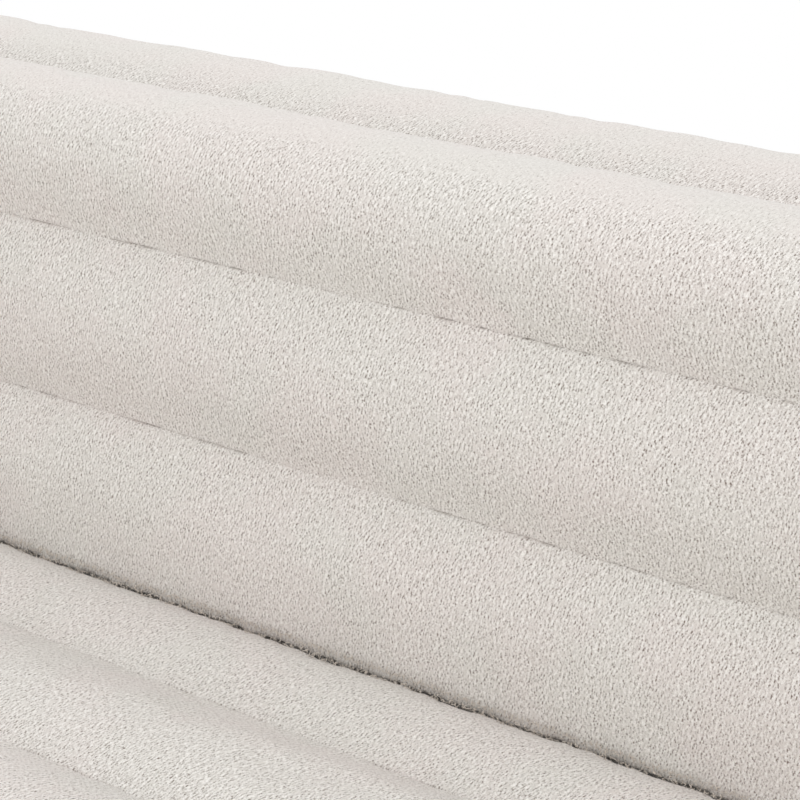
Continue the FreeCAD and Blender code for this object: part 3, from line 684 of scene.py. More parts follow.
def board_material():
    paint = Paint("hardboard_brown", Roughness=0.7)
    fibre = paint.noise(paint.object((260.0, 260.0, 260.0)), 1.0, 4.0)
    cloud = paint.noise(paint.object(), 6.0, 3.0)
    colour = paint.mix(fibre.step(0.3, 0.7), linear(104, 74, 50), linear(142, 106, 74))
    colour = paint.mix(cloud * 0.3, colour, linear(88, 62, 42))
    return paint.finish(colour, 0.6 + fibre * 0.2, fibre, 0.0002, 0.5)


def steel_material(name, base, rough, metallic=1.0):
    paint = Paint(name, Roughness=rough, Metallic=metallic)
    spangle = paint.node("TexVoronoi", {"Vector": paint.object(), "Scale": 260.0}, output=1)
    grime = paint.noise(paint.object(), 40.0, 4.0)
    tone = paint.node("SeparateColor", {"Color": spangle})
    colour = paint.mix(tone * 0.35, base, tuple(part * 0.72 for part in base))
    colour = paint.mix(grime.step(0.55, 0.8) * 0.4, colour, tuple(part * 0.5 for part in base))
    return paint.finish(colour, rough + grime * 0.15, grime, 0.0001, 0.3)


def plastic_material(name, base, rough):
    paint = Paint(name, Roughness=rough)
    speck = paint.noise(paint.object(), 900.0, 3.0)
    scuff = paint.noise(paint.object((60.0, 60.0, 400.0)), 1.0, 3.0)
    colour = paint.mix(scuff.step(0.5, 0.8) * 0.5, base, tuple(min(part * 1.8 + 0.02, 1) for part in base))
    return paint.finish(colour, rough + scuff * 0.2, speck, 0.0002, 0.4)


def fibre_material(name, pale, dark):
    """Loose fibres pressed together."""
    paint = Paint(name, Roughness=0.95, Sheen_Weight=0.3, Sheen_Roughness=0.5)
    strands = paint.noise(paint.object((420.0, 900.0, 420.0)), 1.0, 4.0)
    cloud = paint.noise(paint.object(), 30.0, 3.0)
    colour = paint.mix(strands.step(0.35, 0.65) * (0.5 + 0.5 * cloud), pale, dark)
    return paint.finish(colour, None, strands, 0.0005, 0.7)


def woven_material(name, warp, weft, threads, rough=0.9, depth=0.0003, on_cloth=True):
    """A plain weave: warp and weft threads cross at the given number to the metre."""
    paint = Paint(name, Roughness=rough, Sheen_Weight=0.1)
    place = paint.cloth(threads, threads) if on_cloth else paint.object((threads, threads, threads))
    across, up = (paint.node("Math", {0: part * math.pi}, operation="SINE")
                  for part in paint.split(place)[:2])
    checks = across * up
    thread = paint.noise(place, 1.7, 3.0)
    cover = (checks + 0.25 * (thread - 0.5)).step(-0.25, 0.25)
    colour = paint.mix(cover, warp, weft)
    colour = paint.mix(thread.step(0.45, 0.7) * 0.35, colour, tuple(part * 0.7 for part in warp))
    height = across * across * cover + up * up * (1 - cover)
    return paint.finish(colour, None, height, depth, 0.7)


def material(name):
    """The named material, made once."""
    colours = bpy.context.scene.sofa_colours
    if name not in bpy.data.materials:
        makers = {
            "boucle_off_white": lambda: boucle_material(colours),
            "foam_cream": lambda: foam_material(colours),
            "timber_pine": lambda: timber_material(name, linear(222, 190, 142), linear(184, 140, 90), 0.6),
            "leg_dark_oak": lambda: leg_material(colours),
            "hardboard_brown": board_material,
            "steel_zinc": lambda: steel_material(name, linear(196, 198, 200), 0.34),
            "steel_spring": lambda: steel_material(name, linear(120, 122, 126), 0.38),
            "glide_nylon": lambda: plastic_material(name, linear(52, 50, 48), 0.5),
            "dust_cloth_black": lambda: woven_material(name, linear(34, 34, 36), linear(46, 46, 49), 900.0),
            "insulator_cloth": lambda: woven_material(name, linear(196, 190, 176), linear(214, 208, 196), 500.0),
            "deck_cloth_natural": lambda: woven_material(name, linear(206, 198, 184), linear(222, 215, 202), 1100.0),
            "webbing_jute": lambda: woven_material(name, linear(160, 128, 84), linear(186, 152, 104), 520.0),
            "zip_tape_ivory": lambda: woven_material(name, linear(206, 200, 190), linear(216, 210, 200), 1400.0),
            "zip_brass": lambda: steel_material(name, linear(188, 160, 104), 0.32),
            "pad_fibre": lambda: fibre_material(name, linear(232, 228, 218), linear(208, 203, 192)),
            "loop_ivory": lambda: fibre_material(name, linear(228, 219, 208), linear(208, 197, 185)),
            "thread_ivory": lambda: plastic_material(name, linear(212, 206, 196), 0.7),
        }
        makers[name]()
    return bpy.data.materials[name]


# Relief of a cover over its foam

def cover_relief(section, t, seed, first, last, wave_height):
    """How far each point of a cover stands off its section, in metres."""
    sizes = bpy.context.scene.sofa_sizes
    run = section.run[:, None] + 0 * t
    gap, share, depth = section.gap[:, None], section.share[:, None], section.depth[:, None]
    crest = np.sin(np.pi * np.clip(share, 0, 1)) ** 0.7
    wave = ripple(t, run, 0.048, 0.085, seed) * 0.7 + ripple(t, run, 0.021, 0.04, seed + 1) * 0.3
    lumps = wave_height * wave * crest
    pull = 0.30 + 0.60 * ripple(t, run * 0, 0.011, 1.0, seed + 2) + 0.55 * ripple(t, run * 0, 0.0052, 1.0, seed + 3)
    slot = -depth * np.clip(pull, 0.05, 1.0) * np.exp(-gap / 0.0008)
    fill = sizes.seam_fill * (depth > 0) * np.exp(-gap / 0.011)
    pucker = sizes.pucker * ripple(t, run, 0.0085, 0.03, seed + 4) * np.exp(-gap / 0.014) * (1 - np.exp(-gap / 0.002))
    if section.crease is not None:
        fray = ripple(t, run, 0.0058, 0.012, seed + 5) + 0.6 * ripple(t, run, 0.019, 0.05, seed + 6)
        lumps += sizes.fray * fray * np.exp(-np.abs(run - section.run[section.crease]) / 0.006)
    loose = np.minimum(eased(t - first, 0.0, 0.03), eased(last - t, 0.0, 0.03))
    joint = -0.0022 * (np.exp(-np.abs(t - first) / 0.004) + np.exp(-np.abs(last - t) / 0.004))
    return (lumps + pucker) * loose + slot * (0.4 + 0.6 * loose) + fill + joint


def settled(points, held, flip):
    """Cloth puffed out between the vertices that are held, as a change of place."""
    scene = bpy.context.scene
    sizes = scene.sofa_sizes
    rows, columns = points.shape[:2]
    cloth = bpy.data.objects.new("settling", grid_mesh("settling", [(points, points[..., :2], flip)]))
    scene.collection.objects.link(cloth)
    group = cloth.vertex_groups.new(name="held")
    group.add([int(number) for number in np.flatnonzero(held.ravel())], 1.0, "REPLACE")
    modifier = cloth.modifiers.new("settle", "CLOTH")
    settings = modifier.settings
    settings.quality, settings.mass, settings.air_damping = 6, 0.3, 2.0
    settings.vertex_group_mass = "held"
    settings.use_pressure, settings.uniform_pressure_force = True, sizes.puff
    settings.shrink_min = -sizes.slack
    settings.bending_stiffness = 0.6
    settings.effector_weights.gravity = 0
    modifier.collision_settings.use_collision = False
    modifier.point_cache.frame_start, modifier.point_cache.frame_end = 1, 20
    for number in range(1, 21):
        scene.frame_set(number)
    mesh = cloth.evaluated_get(bpy.context.evaluated_depsgraph_get()).to_mesh()
    moved = np.empty(rows * columns * 3, np.float32)
    mesh.vertices.foreach_get("co", moved)
    bpy.data.objects.remove(cloth)
    scene.frame_set(1)
    return moved.reshape(rows, columns, 3).astype(float) - points


def smoothed(field, width, axis):
    """A field averaged over a few cells along one axis."""
    kernel = np.hanning(width + 2)[1:-1]
    kernel /= kernel.sum()
    edge = [(0, 0), (0, 0)]
    edge[axis] = (width // 2, width // 2)
    return np.apply_along_axis(lambda line: np.convolve(line, kernel, "valid"), axis, np.pad(field, edge, mode="edge"))


def settled_relief(section, count, lay, flip):
    """How far the cloth settles off its section, from a coarse copy held at the seams."""
    sizes = bpy.context.scene.sofa_sizes
    fine_share = np.linspace(0, 1, count)
    picked = [0]
    for row in range(1, len(section.run)):
        seam = section.gap[row] < 1e-9
        if seam or (section.run[row] - section.run[picked[-1]] > 0.0105 and section.gap[row] > 0.004):
            picked.append(row)
    picked = np.array(picked)
    share = np.linspace(0, 1, max(count // 3, 24))
    points = lay(np.zeros((len(section.run), len(share))), share[None, :])[picked]
    raised = lay(np.full((len(section.run), len(share)), 0.001), share[None, :])[picked]
    outward = (raised - points) / np.linalg.norm(raised - points, axis=2)[..., None]
    held = np.zeros(points.shape[:2], bool)
    held[:, [0, -1]] = True
    held[section.gap[picked] < 1e-9] = True
    held[[0, -1]] = True
    shift = np.sum(settled(points, held, flip) * outward, axis=2)
    shift -= sizes.settle_level * shift.mean(axis=1, keepdims=True)
    shift = np.clip(shift, -sizes.settle_cap, sizes.settle_cap)
    rows = np.stack([np.interp(section.run, section.run[picked], line) for line in shift.T], 1)
    wide = np.stack([np.interp(fine_share, share, line) for line in rows])
    near = np.minimum(1, section.gap / 0.012)[:, None]
    if section.crease is not None:
        near = near * (1 - np.exp(-np.abs(section.run - section.run[section.crease]) / 0.025))[:, None]
    return smoothed(smoothed(wide, 7, 1), 5, 0) * near


def cover_mesh(name, section, run, step, seed):
    """A channelled cover on a run of wall."""
    sizes = bpy.context.scene.sofa_sizes
    out = section.place[:, :1]
    first, last = run.ends(out)
    count = int((run.length + 0.12) / step) + 2
    share = np.linspace(0, 1, count)[None, :]
    t = first + (last - first) * share
    valley = (section.run > section.length - 1e-9)[:, None]

    def lay(relief, share):
        spread = out + relief * section.way[:, :1]
        up = section.place[:, 1:] + relief * section.way[:, 1:]
        spread = np.where(valley, 0.0, np.maximum(spread, 0.0))
        begin, end = run.ends(spread)
        x, y = run.plan(begin + (end - begin) * share, spread)
        return np.stack([x, y, up + 0 * x], 2)

    wave = sizes.crest_wave * (1.0 if name.startswith("inside") else 0.5)
    relief = cover_relief(section, t, seed, first, last, wave)
    if name.startswith("inside_arm"):
        relief -= section.filled[:, None] * (1 - eased(t - first, 0.0, 0.05))
    relief += settled_relief(section, count, lay, run.mirrored)
    uv = np.stack([(t if run.mirrored else -t) + seed * 0.37,
                   np.repeat(section.run[:, None], count, 1) + seed * 0.21], 2)
    return grid_mesh(name, [(lay(relief, share), uv, run.mirrored)])


def with_hem(section):
    """Adds the hem that is turned under the frame to the bottom of a section."""
    distance = np.linspace(TURN_UNDER, 0.004, 6)
    place = np.stack([HALF_WALL - distance, 0 * distance + UNDERSIDE], 1)
    way = np.repeat([[0.0, -1.0]], len(distance), 0)
    section.place = np.concatenate([place, section.place])
    section.way = np.concatenate([way, section.way])
    section.run = np.concatenate([-distance, section.run])
    section.gap = np.concatenate([0 * distance + 0.05, section.gap])
    section.share = np.concatenate([0 * distance, section.share])
    section.depth = np.concatenate([0 * distance, section.depth])
    return section


class SOFA_OT_wall_covers(bpy.types.Operator):
    """Sew the channelled boucle covers of the back, the arms and the arm fronts"""
    bl_idname = "sofa.wall_covers"
    bl_label = "Wall Covers"

    def execute(self, context):
        sizes = context.scene.sofa_sizes
        tuck = sizes.seam_tuck
        outer = with_hem(Section(outer_channels(), [0.0] + [tuck] * 4 + [sizes.valley_tuck]))
        inner = Section(inner_channels(), [0.0, tuck, 0.0, tuck, tuck, sizes.valley_tuck], reshape=resting_on_seat)
        inner.crease = int(np.argmin(np.abs(inner.place[:, 1] - TUCK_SEAM - PRESS_START - 0.4 * PRESS_TURN)))
        for seed, (name, run) in enumerate(runs().items()):
            section = inner if name.startswith("inside") else outer
            node = name.replace("_left", "_cover_left").replace("_right", "_cover_right")
            node = node if "cover" in node else node + "_cover"
            step = sizes.column if name.endswith("back") else sizes.column * 1.25
            mesh = cover_mesh(node, section, run, step, 10 * seed + 3)
            put(node + "_boucle", mesh, material("boucle_off_white"), stands_for=(node,))
        return {"FINISHED"}


class SOFA_OT_wall_foam(bpy.types.Operator):
    """Shape the foam under the wall covers"""
    bl_idname = "sofa.wall_foam"
    bl_label = "Wall Foam"

    def execute(self, context):
        inset = context.scene.sofa_sizes.foam_inset
        for name, run in runs().items():
            inner = name.startswith("inside")
            arcs = inner_channels(inset) if inner else outer_channels(inset)
            loop = []
            for part in arcs:
                length = along(part, np.array([0.0]))[2]
                spot, _, _ = along(part, np.linspace(0, length, 14)[:-1])
                loop += [tuple(point) for point in spot]
            low = (RAIL_TOP if inner else UNDERSIDE + COVER)
            loop = [(out, max(up, low + 0.0005)) for out, up in loop]
            loop += [(0.0, VALLEY - inset), (0.0, FRAME_TOP), (FOAM_BASE, FRAME_TOP), (FOAM_BASE, low + 0.0005)]
            node = name.replace("_left", "_foam_left").replace("_right", "_foam_right")
            node = node if "foam" in node else node + "_foam"
            put(node + "_pad", swept_solid(node, loop, run), material("foam_cream"), stands_for=(node,))
        return {"FINISHED"}


# Front roll and cushion

def front_roll_points(step, seed):
    sizes = bpy.context.scene.sofa_sizes
    half = PITCH / 2
    radius = (half ** 2 + CROWN ** 2) / (2 * CROWN)
    spread = math.degrees(math.asin(half / radius))
    centre = SEAT_CREST + radius
    distance = spaced(radius * math.radians(2 * spread), 0.0046)
    spot, way, length = along([(centre, UNDERSIDE + half, radius, 180 + spread, 180 - spread)], distance)
    gap = np.minimum(distance, length - distance)
    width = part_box("front_rail_cover")[1].x - 0.0005
    t = np.linspace(-width, width, int(2 * width / step))[None, :]
    run = distance[:, None] + 0 * t
    wave = ripple(t, run, 0.055, 0.085, seed) * np.sin(np.pi * distance / length)[:, None]
    relief = sizes.crest_wave * wave - 0.002 * np.exp(-gap / 0.004)[:, None]
    relief -= 0.016 * np.exp(-(width - np.abs(t)) / 0.0035) * np.minimum(1, gap / 0.01)[:, None]
    y = spot[:, :1] + relief * way[:, :1]
    z = spot[:, 1:] + relief * way[:, 1:]
    hem = np.linspace(TURN_UNDER, 0.004, 5)[:, None]
    deck = np.array([0.004, 0.015, 0.03, 0.0505])[:, None]
    y = np.concatenate([SEAT_SEAM + hem + 0 * t, y, SEAT_SEAM + deck + 0 * t])
    z = np.concatenate([UNDERSIDE + 0 * hem + 0 * t, z, DECK + 0 * deck + 0 * t])
    run = np.concatenate([-hem + 0 * t, run, length + deck + 0 * t])
    x = np.repeat(t, len(y), 0)
    return np.stack([x, y, z], 2), np.stack([x, run], 2)


class SOFA_OT_front_roll(bpy.types.Operator):
    """Cover and pad the roll along the front rail"""
    bl_idname = "sofa.front_roll"
    bl_label = "Front Roll"

    def execute(self, context):
        sizes = context.scene.sofa_sizes
        points, uv = front_roll_points(sizes.column * 1.25, 91)
        put("front_rail_cover_boucle", grid_mesh("front_rail_cover", [(points, uv, True)]),
            material("boucle_off_white"), stands_for=("front_rail_cover",))
        low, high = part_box("front_rail_foam")
        half = PITCH / 2
        inset = sizes.foam_inset
        radius = (half ** 2 + CROWN ** 2) / (2 * CROWN)
        spread = math.degrees(math.asin(half / (radius - inset))) * 0.94
        spot, _, _ = along([(SEAT_CREST + radius, UNDERSIDE + half, radius - inset, 180 + spread, 180 - spread)],
                           np.linspace(0, (radius - inset) * math.radians(2 * spread), 14))
        loop = [tuple(point) for point in spot] + [(high.y, high.z - 0.001), (high.y, RAIL_TOP + 0.012),
                                                   (SEAT_SEAM + 0.025, RAIL_TOP + 0.012), (SEAT_SEAM + 0.025, low.z)]
        work = bmesh.new()
        ends = [[work.verts.new((x, y, z)) for y, z in loop] for x in np.linspace(low.x + 0.012, high.x - 0.012, 24)]
        for first, second in zip(ends, ends[1:]):
            for index in range(len(loop)):
                onward = (index + 1) % len(loop)
                work.faces.new([first[index], first[onward], second[onward], second[index]])
        work.faces.new(ends[0])
        work.faces.new(ends[-1])
        bmesh.ops.recalc_face_normals(work, faces=work.faces)
        mesh = bpy.data.meshes.new("front_rail_foam")
        work.to_mesh(mesh)
        work.free()
        put("front_rail_foam_pad", mesh, material("foam_cream"), stands_for=("front_rail_foam",))
        return {"FINISHED"}


def cushion_channels():
    """Arcs across the top of the cushion in (y, z), from the front seam to the rear one."""
    top, half_pitch = CUSHION_HIGH.z, PITCH / 2
    seams = [CUSHION_HIGH.y - REAR_CHANNEL]
    while seams[-1] - PITCH - CUSHION_LOW.y >= 0.090:
        seams.append(seams[-1] - PITCH)
    seams = seams[::-1]
    under = math.degrees(math.acos((CUSHION_SHOULDER - BOXING_RECESS) / CUSHION_SHOULDER))
    up = top - CUSHION_SHOULDER

    def edge(edge_y, seam_y):
        way = 1 if edge_y > seam_y else -1
        crest = edge_y - way * CUSHION_SHOULDER
        across = abs(crest - seam_y)
        radius = (across ** 2 + CROWN ** 2) / (2 * CROWN)
        lean = math.degrees(math.asin(across / radius))
        if way > 0:
            return [(crest, top - radius, radius, 90 + lean, 90), (crest, up, CUSHION_SHOULDER, 90, -under)]
        return [(crest, up, CUSHION_SHOULDER, 180 + under, 90), (crest, top - radius, radius, 90, 90 - lean)]

    radius = (half_pitch ** 2 + CROWN ** 2) / (2 * CROWN)
    lean = math.degrees(math.asin(half_pitch / radius))
    middles = [[((low + high) / 2, top - radius, radius, 90 + lean, 90 - lean)]
               for low, high in zip(seams, seams[1:])]
    return [edge(CUSHION_LOW.y, seams[0])] + middles + [edge(CUSHION_HIGH.y, seams[-1])]


class SOFA_OT_seat_cushion(bpy.types.Operator):
    """Make the seat cushion: its channelled cover and foam core"""
    bl_idname = "sofa.seat_cushion"
    bl_label = "Seat Cushion"

    def execute(self, context):
        sizes = context.scene.sofa_sizes
        seed, tuck = 200, sizes.seat_tuck
        parts = cushion_channels()

        def pressed(place):
            centre_y, centre_z = CUSHION_HIGH.y - CUSHION_SHOULDER, CUSHION_HIGH.z - CUSHION_SHOULDER
            off_y, off_z = place[:, 0] - centre_y, place[:, 1] - centre_z
            angle = np.degrees(np.arctan2(off_z, off_y))
            swell = pressed_edge(angle) / CUSHION_SHOULDER
            edge = (off_y > 0) & (angle > -30)
            return np.where(edge[:, None], np.stack([centre_y + off_y * swell, centre_z + off_z * swell], 1), place)

        section = Section(parts, [tuck * 0.6] + [tuck] * (len(parts) - 1) + [tuck * 0.6], 0.0026, pressed)
        rear = section.place - np.array([CUSHION_HIGH.y - 0.0070, CUSHION_HIGH.z - 0.0095])
        section.crease = int(np.argmin(np.linalg.norm(rear, axis=1)))
        half = CUSHION_HIGH.x
        flat = half - CUSHION_SHOULDER
        seam_z = section.place[0, 1]
        turn = np.radians(90 + math.degrees(math.acos((CUSHION_SHOULDER - BOXING_RECESS) / CUSHION_SHOULDER)))
        middle = np.linspace(-flat, flat, int(2 * flat / sizes.column))
        bend = np.linspace(0, turn, 28)[1:]
        lie = np.concatenate([-flat - CUSHION_SHOULDER * bend[::-1], middle, flat + CUSHION_SHOULDER * bend])[None, :]
        angle = np.concatenate([-bend[::-1], 0 * middle, bend])[None, :]
        swell = pressed_edge(90 - np.degrees(np.abs(angle)))
        across = np.where(angle == 0, lie, np.sign(angle) * (flat + swell * np.sin(np.abs(angle))))
        relief = cover_relief(section, lie, seed, lie.min(), lie.max(), sizes.crest_wave)

        def lay(raised, share):
            reach_x = flat * (2 * share - 1) + 0 * raised
            return np.stack([reach_x, section.place[:, :1] + raised * section.way[:, :1],
                             section.place[:, 1:] + raised * section.way[:, 1:]], 2)

        calm = settled_relief(section, len(middle), lay, False)
        relief[:, len(bend):-len(bend)] += calm * eased(flat - np.abs(middle), 0.0, 0.06)
        y = section.place[:, :1] + relief * section.way[:, :1]
        z = section.place[:, 1:] + relief * section.way[:, 1:]
        shoulder_z = CUSHION_HIGH.z - CUSHION_SHOULDER
        lift = z - shoulder_z
        drop = np.where(np.abs(angle) > np.pi / 2, CUSHION_SHOULDER, np.maximum(lift, 0)) * np.cos(angle) * swell / CUSHION_SHOULDER
        z = np.where(angle == 0, z, np.where(lift > 0, shoulder_z + drop, np.minimum(z, shoulder_z + np.minimum(drop, 0))))
        z = np.maximum(z, seam_z - 0.001)
        centre = (CUSHION_LOW.y + CUSHION_HIGH.y) / 2
        reach = (CUSHION_HIGH.y - CUSHION_LOW.y) / 2
        corner = 0.022
        far, fold = np.abs(across[0]), across.shape[1] // 2
        far = np.concatenate([np.maximum.accumulate(far[:fold][::-1])[::-1], np.maximum.accumulate(far[fold:])])
        into = np.clip((far[None] - (half - corner)) / corner, 0, 1)
        inset = corner * (1 - np.sqrt(1 - into ** 2))
        inward = eased(y, CUSHION_HIGH.y - 0.06, CUSHION_HIGH.y) - eased(-y, -CUSHION_LOW.y - 0.06, -CUSHION_LOW.y)
        y = y - inset * inward
        x = np.repeat(across, len(y), 0)
        side = np.abs(across[0, -1])
        near = np.exp(-np.minimum(section.run, section.length - section.run) / 0.010)[:, None]
        x = x + near * (np.clip(x, -side, side) - x)
        z[[0, -1]] = seam_z
        for row in (0, -1):
            y[row, x[row] > side - 1e-6], y[row, x[row] < 1e-6 - side] = y[row, -1], y[row, 0]
        for column in (0, -1):
            y[:, column] = np.clip(y[:, column], y[0, column], y[-1, column])
            folded = (y[:, column] == y[0, column]) | (y[:, column] == y[-1, column])
            z[folded, column] = seam_z
        top = np.stack([x, y, z], 2)
        top_uv = np.stack([np.repeat(lie, len(y), 0) + 5.1, np.repeat(section.run[:, None], x.shape[1], 1) + 2.3], 2)
        patches = [(top, top_uv, False)]
        low_z = CUSHION_LOW.z
        zip_low, zip_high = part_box("cushion_zip")
        zip_middle = (zip_low.z + zip_high.z) / 2
        rows = 21
        share = np.linspace(0, 1, rows)[:, None]
        bulge = 0.0022 * np.sin(np.pi * share) ** 0.6
        for name, line, way, number in (("front", top[0], (0, -1), 1), ("rear", top[-1], (0, 1), 2),
                                        ("left", top[:, 0], (-1, 0), 3), ("right", top[:, -1], (1, 0), 4)):
            foot = line.copy()
            foot[:, 2] = low_z
            foot[30:-30] = smoothed(foot, 41, 0)[30:-30]
            inward = 0.004
            foot[:, 0] *= (half - inward) / half
            foot[:, 1] = centre + (foot[:, 1] - centre) * (reach - inward) / reach
            calm = smoothed(line, 41, 0)
            calm[:30], calm[-30:] = line[:30], line[-30:]
            keep = np.exp(-share / 0.08)[..., None]
            points = (line[None] * keep + calm[None] * (1 - keep)) * (1 - share[..., None]) + foot[None] * share[..., None]
            length = np.concatenate([[0], np.cumsum(np.linalg.norm(np.diff(calm, axis=0), axis=1))])
            ripples = ripple(length[None], share * 0.12, 0.05, 0.06, 460 + number)
            uneven = bulge + 0.0009 * np.sin(np.pi * share) * ripples
            uneven = uneven * eased(np.minimum(length, length[-1] - length), 0.0, 0.05)[None]
            points[..., 0] += way[0] * uneven
            points[..., 1] += way[1] * uneven
            if name == "rear":
                level = 1 - eased(np.abs(points[..., 2] - zip_middle), 0.019, 0.030)
                level = level * (1 - eased(np.abs(points[..., 0]), zip_high.x + 0.003, zip_high.x + 0.016))
                face = zip_low.y - 0.0002
                points[..., 1] += level * (np.minimum(points[..., 1], face) - points[..., 1])
            uv = np.stack([np.repeat(length[None], rows, 0) + 7.7, np.repeat(share, len(line), 1) * (seam_z - low_z)], 2)
            patches.append((points, uv, name in ("rear", "left")))
        mesh = grid_mesh("seat_cushion_cover", patches)
        work = bmesh.new()
        work.from_mesh(mesh)
        cloth = work.loops.layers.uv["Cloth"]
        border = [edge for edge in work.edges if len(edge.link_faces) == 1
                  and all(vert.co.z < low_z + 1e-5 for vert in edge.verts)]
        filled = bmesh.ops.triangle_fill(work, edges=border, use_beauty=True, normal=(0, 0, -1))
        for face in filled["geom"]:
            if isinstance(face, bmesh.types.BMFace):
                face.smooth = False
                for loop in face.loops:
                    loop[cloth].uv = (loop.vert.co.x + 9.0, loop.vert.co.y + 9.0)
        bmesh.ops.recalc_face_normals(work, faces=work.faces)
        for edge in work.edges:
            if any(abs(face.normal.z) > 0.99 and face.calc_center_median().z < low_z + 0.0005 for face in edge.link_faces):
                edge.smooth = False
        work.to_mesh(mesh)
        work.free()
        put("seat_cushion_cover_boucle", mesh, material("boucle_off_white"),
            body="seat_cushion", stands_for=("seat_cushion_cover",))
        low, high = CUSHION_LOW, CUSHION_HIGH
        inset = sizes.foam_inset + 0.004
        work = bmesh.new()
        bmesh.ops.create_cube(work, size=1.0)
        bmesh.ops.scale(work, vec=(2 * (half - inset), 2 * (reach - inset), high.z - low.z - 2 * inset - 0.012), verts=work.verts)
        bmesh.ops.translate(work, vec=(0, centre, (high.z - 0.012 + low.z) / 2), verts=work.verts)
        bmesh.ops.bevel(work, geom=work.edges[:], offset=0.02, segments=4, affect="EDGES", profile=0.5)
        mesh = bpy.data.meshes.new("seat_cushion_core")
        work.to_mesh(mesh)
        work.free()
        put("seat_cushion_core_foam", mesh, material("foam_cream"), body="seat_cushion",
            stands_for=("seat_cushion_core",))
        return {"FINISHED"}


def flat_grid(low, high, step, height):
    """Points and cloth coordinates of a level sheet whose height is a function of x and y."""
    x = np.linspace(low.x, high.x, int((high.x - low.x) / step) + 2)[None, :]
    y = np.linspace(low.y, high.y, int((high.y - low.y) / step) + 2)[:, None]
    x, y = x + 0 * y, y + 0 * x
    return np.stack([x, y, height(x, y)], 2), np.stack([x, y], 2)


def spring_lines():
    """Where the springs under the deck stand, across the sofa."""
    low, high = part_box("seat_springs")
    return np.linspace(low.x + 0.02, high.x - 0.02, 14)


class SOFA_OT_seat_deck(bpy.types.Operator):
    """Lay the insulator, the pad and the sewn deck cloth over the springs"""
    bl_idname = "sofa.seat_deck"
    bl_label = "Seat Deck"

    def execute(self, context):
        low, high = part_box("deck_pad")
        half = (high.z - low.z) / 2
        middle, reach = (low.y + high.y) / 2, (high.y - low.y) / 2
        corner = min(0.010, half)
        turn = np.linspace(0, np.pi / 2, 7)
        edge = reach - corner + corner * np.sin(turn)
        across = np.concatenate([-edge[::-1], np.linspace(-reach, reach, 40)[2:-2], edge])
        rounded = half - corner + corner * np.cos(turn)
        thick = np.concatenate([rounded[::-1], np.full(36, half), rounded])
        end = low.x + 0.012 * (1 - np.cos(turn)) / 1.0
        stations = np.concatenate([end, np.linspace(low.x + 0.014, high.x - 0.014, 130), -end[::-1]])

        def place(side, off, x):
            soft = 1 - 0.35 * (1 - eased(high.x - np.abs(x), 0.0, 0.010))
            dent = 0.0012 * ripple(x, side, 0.05, 0.07, 401) * (off < 0)
            return np.stack([x, middle + side, (low.z + high.z) / 2 + off * soft + np.maximum(dent, 0)], 2)

        put("deck_pad_fibre", grid_mesh("deck_pad", strap(across, thick, stations[None, :][0], place), closed=True),
            material("pad_fibre"), stands_for=("deck_pad",))
        for node, step, name, thickness, dip, rests in (
                ("deck_cloth", 0.012, "deck_cloth_natural", 0.0008, 0.00010, "deck_pad_fibre"),
                ("spring_insulator", 0.012, "insulator_cloth", 0.0006, 0.00008, "seat_springs")):
            low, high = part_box(node)
            level = (low.z + high.z) / 2

            def height(x, y, level=level, dip=dip):
                return level + dip * ripple(x, y, 0.06, 0.09, 411)

            points, uv = flat_grid(low, high, step, height)
            size = (high.x - low.x, high.y - low.y)
            put(node + "_sheet", grid_mesh(node, [(points, uv, True)]), material(name), stands_for=(node,),
                sheet={"flat": size, "held": "laid", "rests_on": [rests], "thickness": thickness})
        low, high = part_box("deck_cloth")
        pattern = Pattern("deck_stitches", spacing=0.0052, length=0.0036, rise=0.0001, radius=0.00022)
        pieces = pattern.placed(pattern.stations(), pattern.bent_thread(), pattern.heading())
        rows = []
        for inset in (0.012, 0.018):
            x, y, z = high.x - inset, (low.y + inset, high.y - inset), high.z - 0.0001
            rows.append([(-x, y[0], z), (x, y[0], z), (x, y[1], z), (-x, y[1], z), (-x, y[0], z)])
        put("deck_stitches", pattern.run(pieces, rows, material("thread_ivory")), material("thread_ivory"))
        return {"FINISHED"}


class SOFA_OT_back_webbing(bpy.types.Operator):
    """Stretch the webbing straps over the back frame"""
    bl_idname = "sofa.back_webbing"
    bl_label = "Back Webbing"

    def execute(self, context):
        low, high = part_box("back_webbing")
        width, count = 0.060, 10
        half = (high.y - low.y) / 2
        across = np.linspace(-width / 2, width / 2, 17)
        thick = half * (0.72 + 0.28 * eased(np.abs(across), width * 0.40, width * 0.46))
        thick = thick * (1 - 0.5 * (np.abs(across) > width / 2 - 1e-6))
        patches = []
        for centre in np.linspace(low.x + width / 2, high.x - width / 2, count):
            def place(side, off, z, centre=centre):
                sway = 0.0008 * np.sin(z * 41 + centre * 9)
                return np.stack([centre + side + sway, (low.y + high.y) / 2 + off, z], 2)
            patches += strap(across, thick, np.linspace(low.z, high.z, 40), place)
        put("back_webbing_straps", grid_mesh("back_webbing", patches, closed=True), material("webbing_jute"),
            stands_for=("back_webbing",))
        return {"FINISHED"}


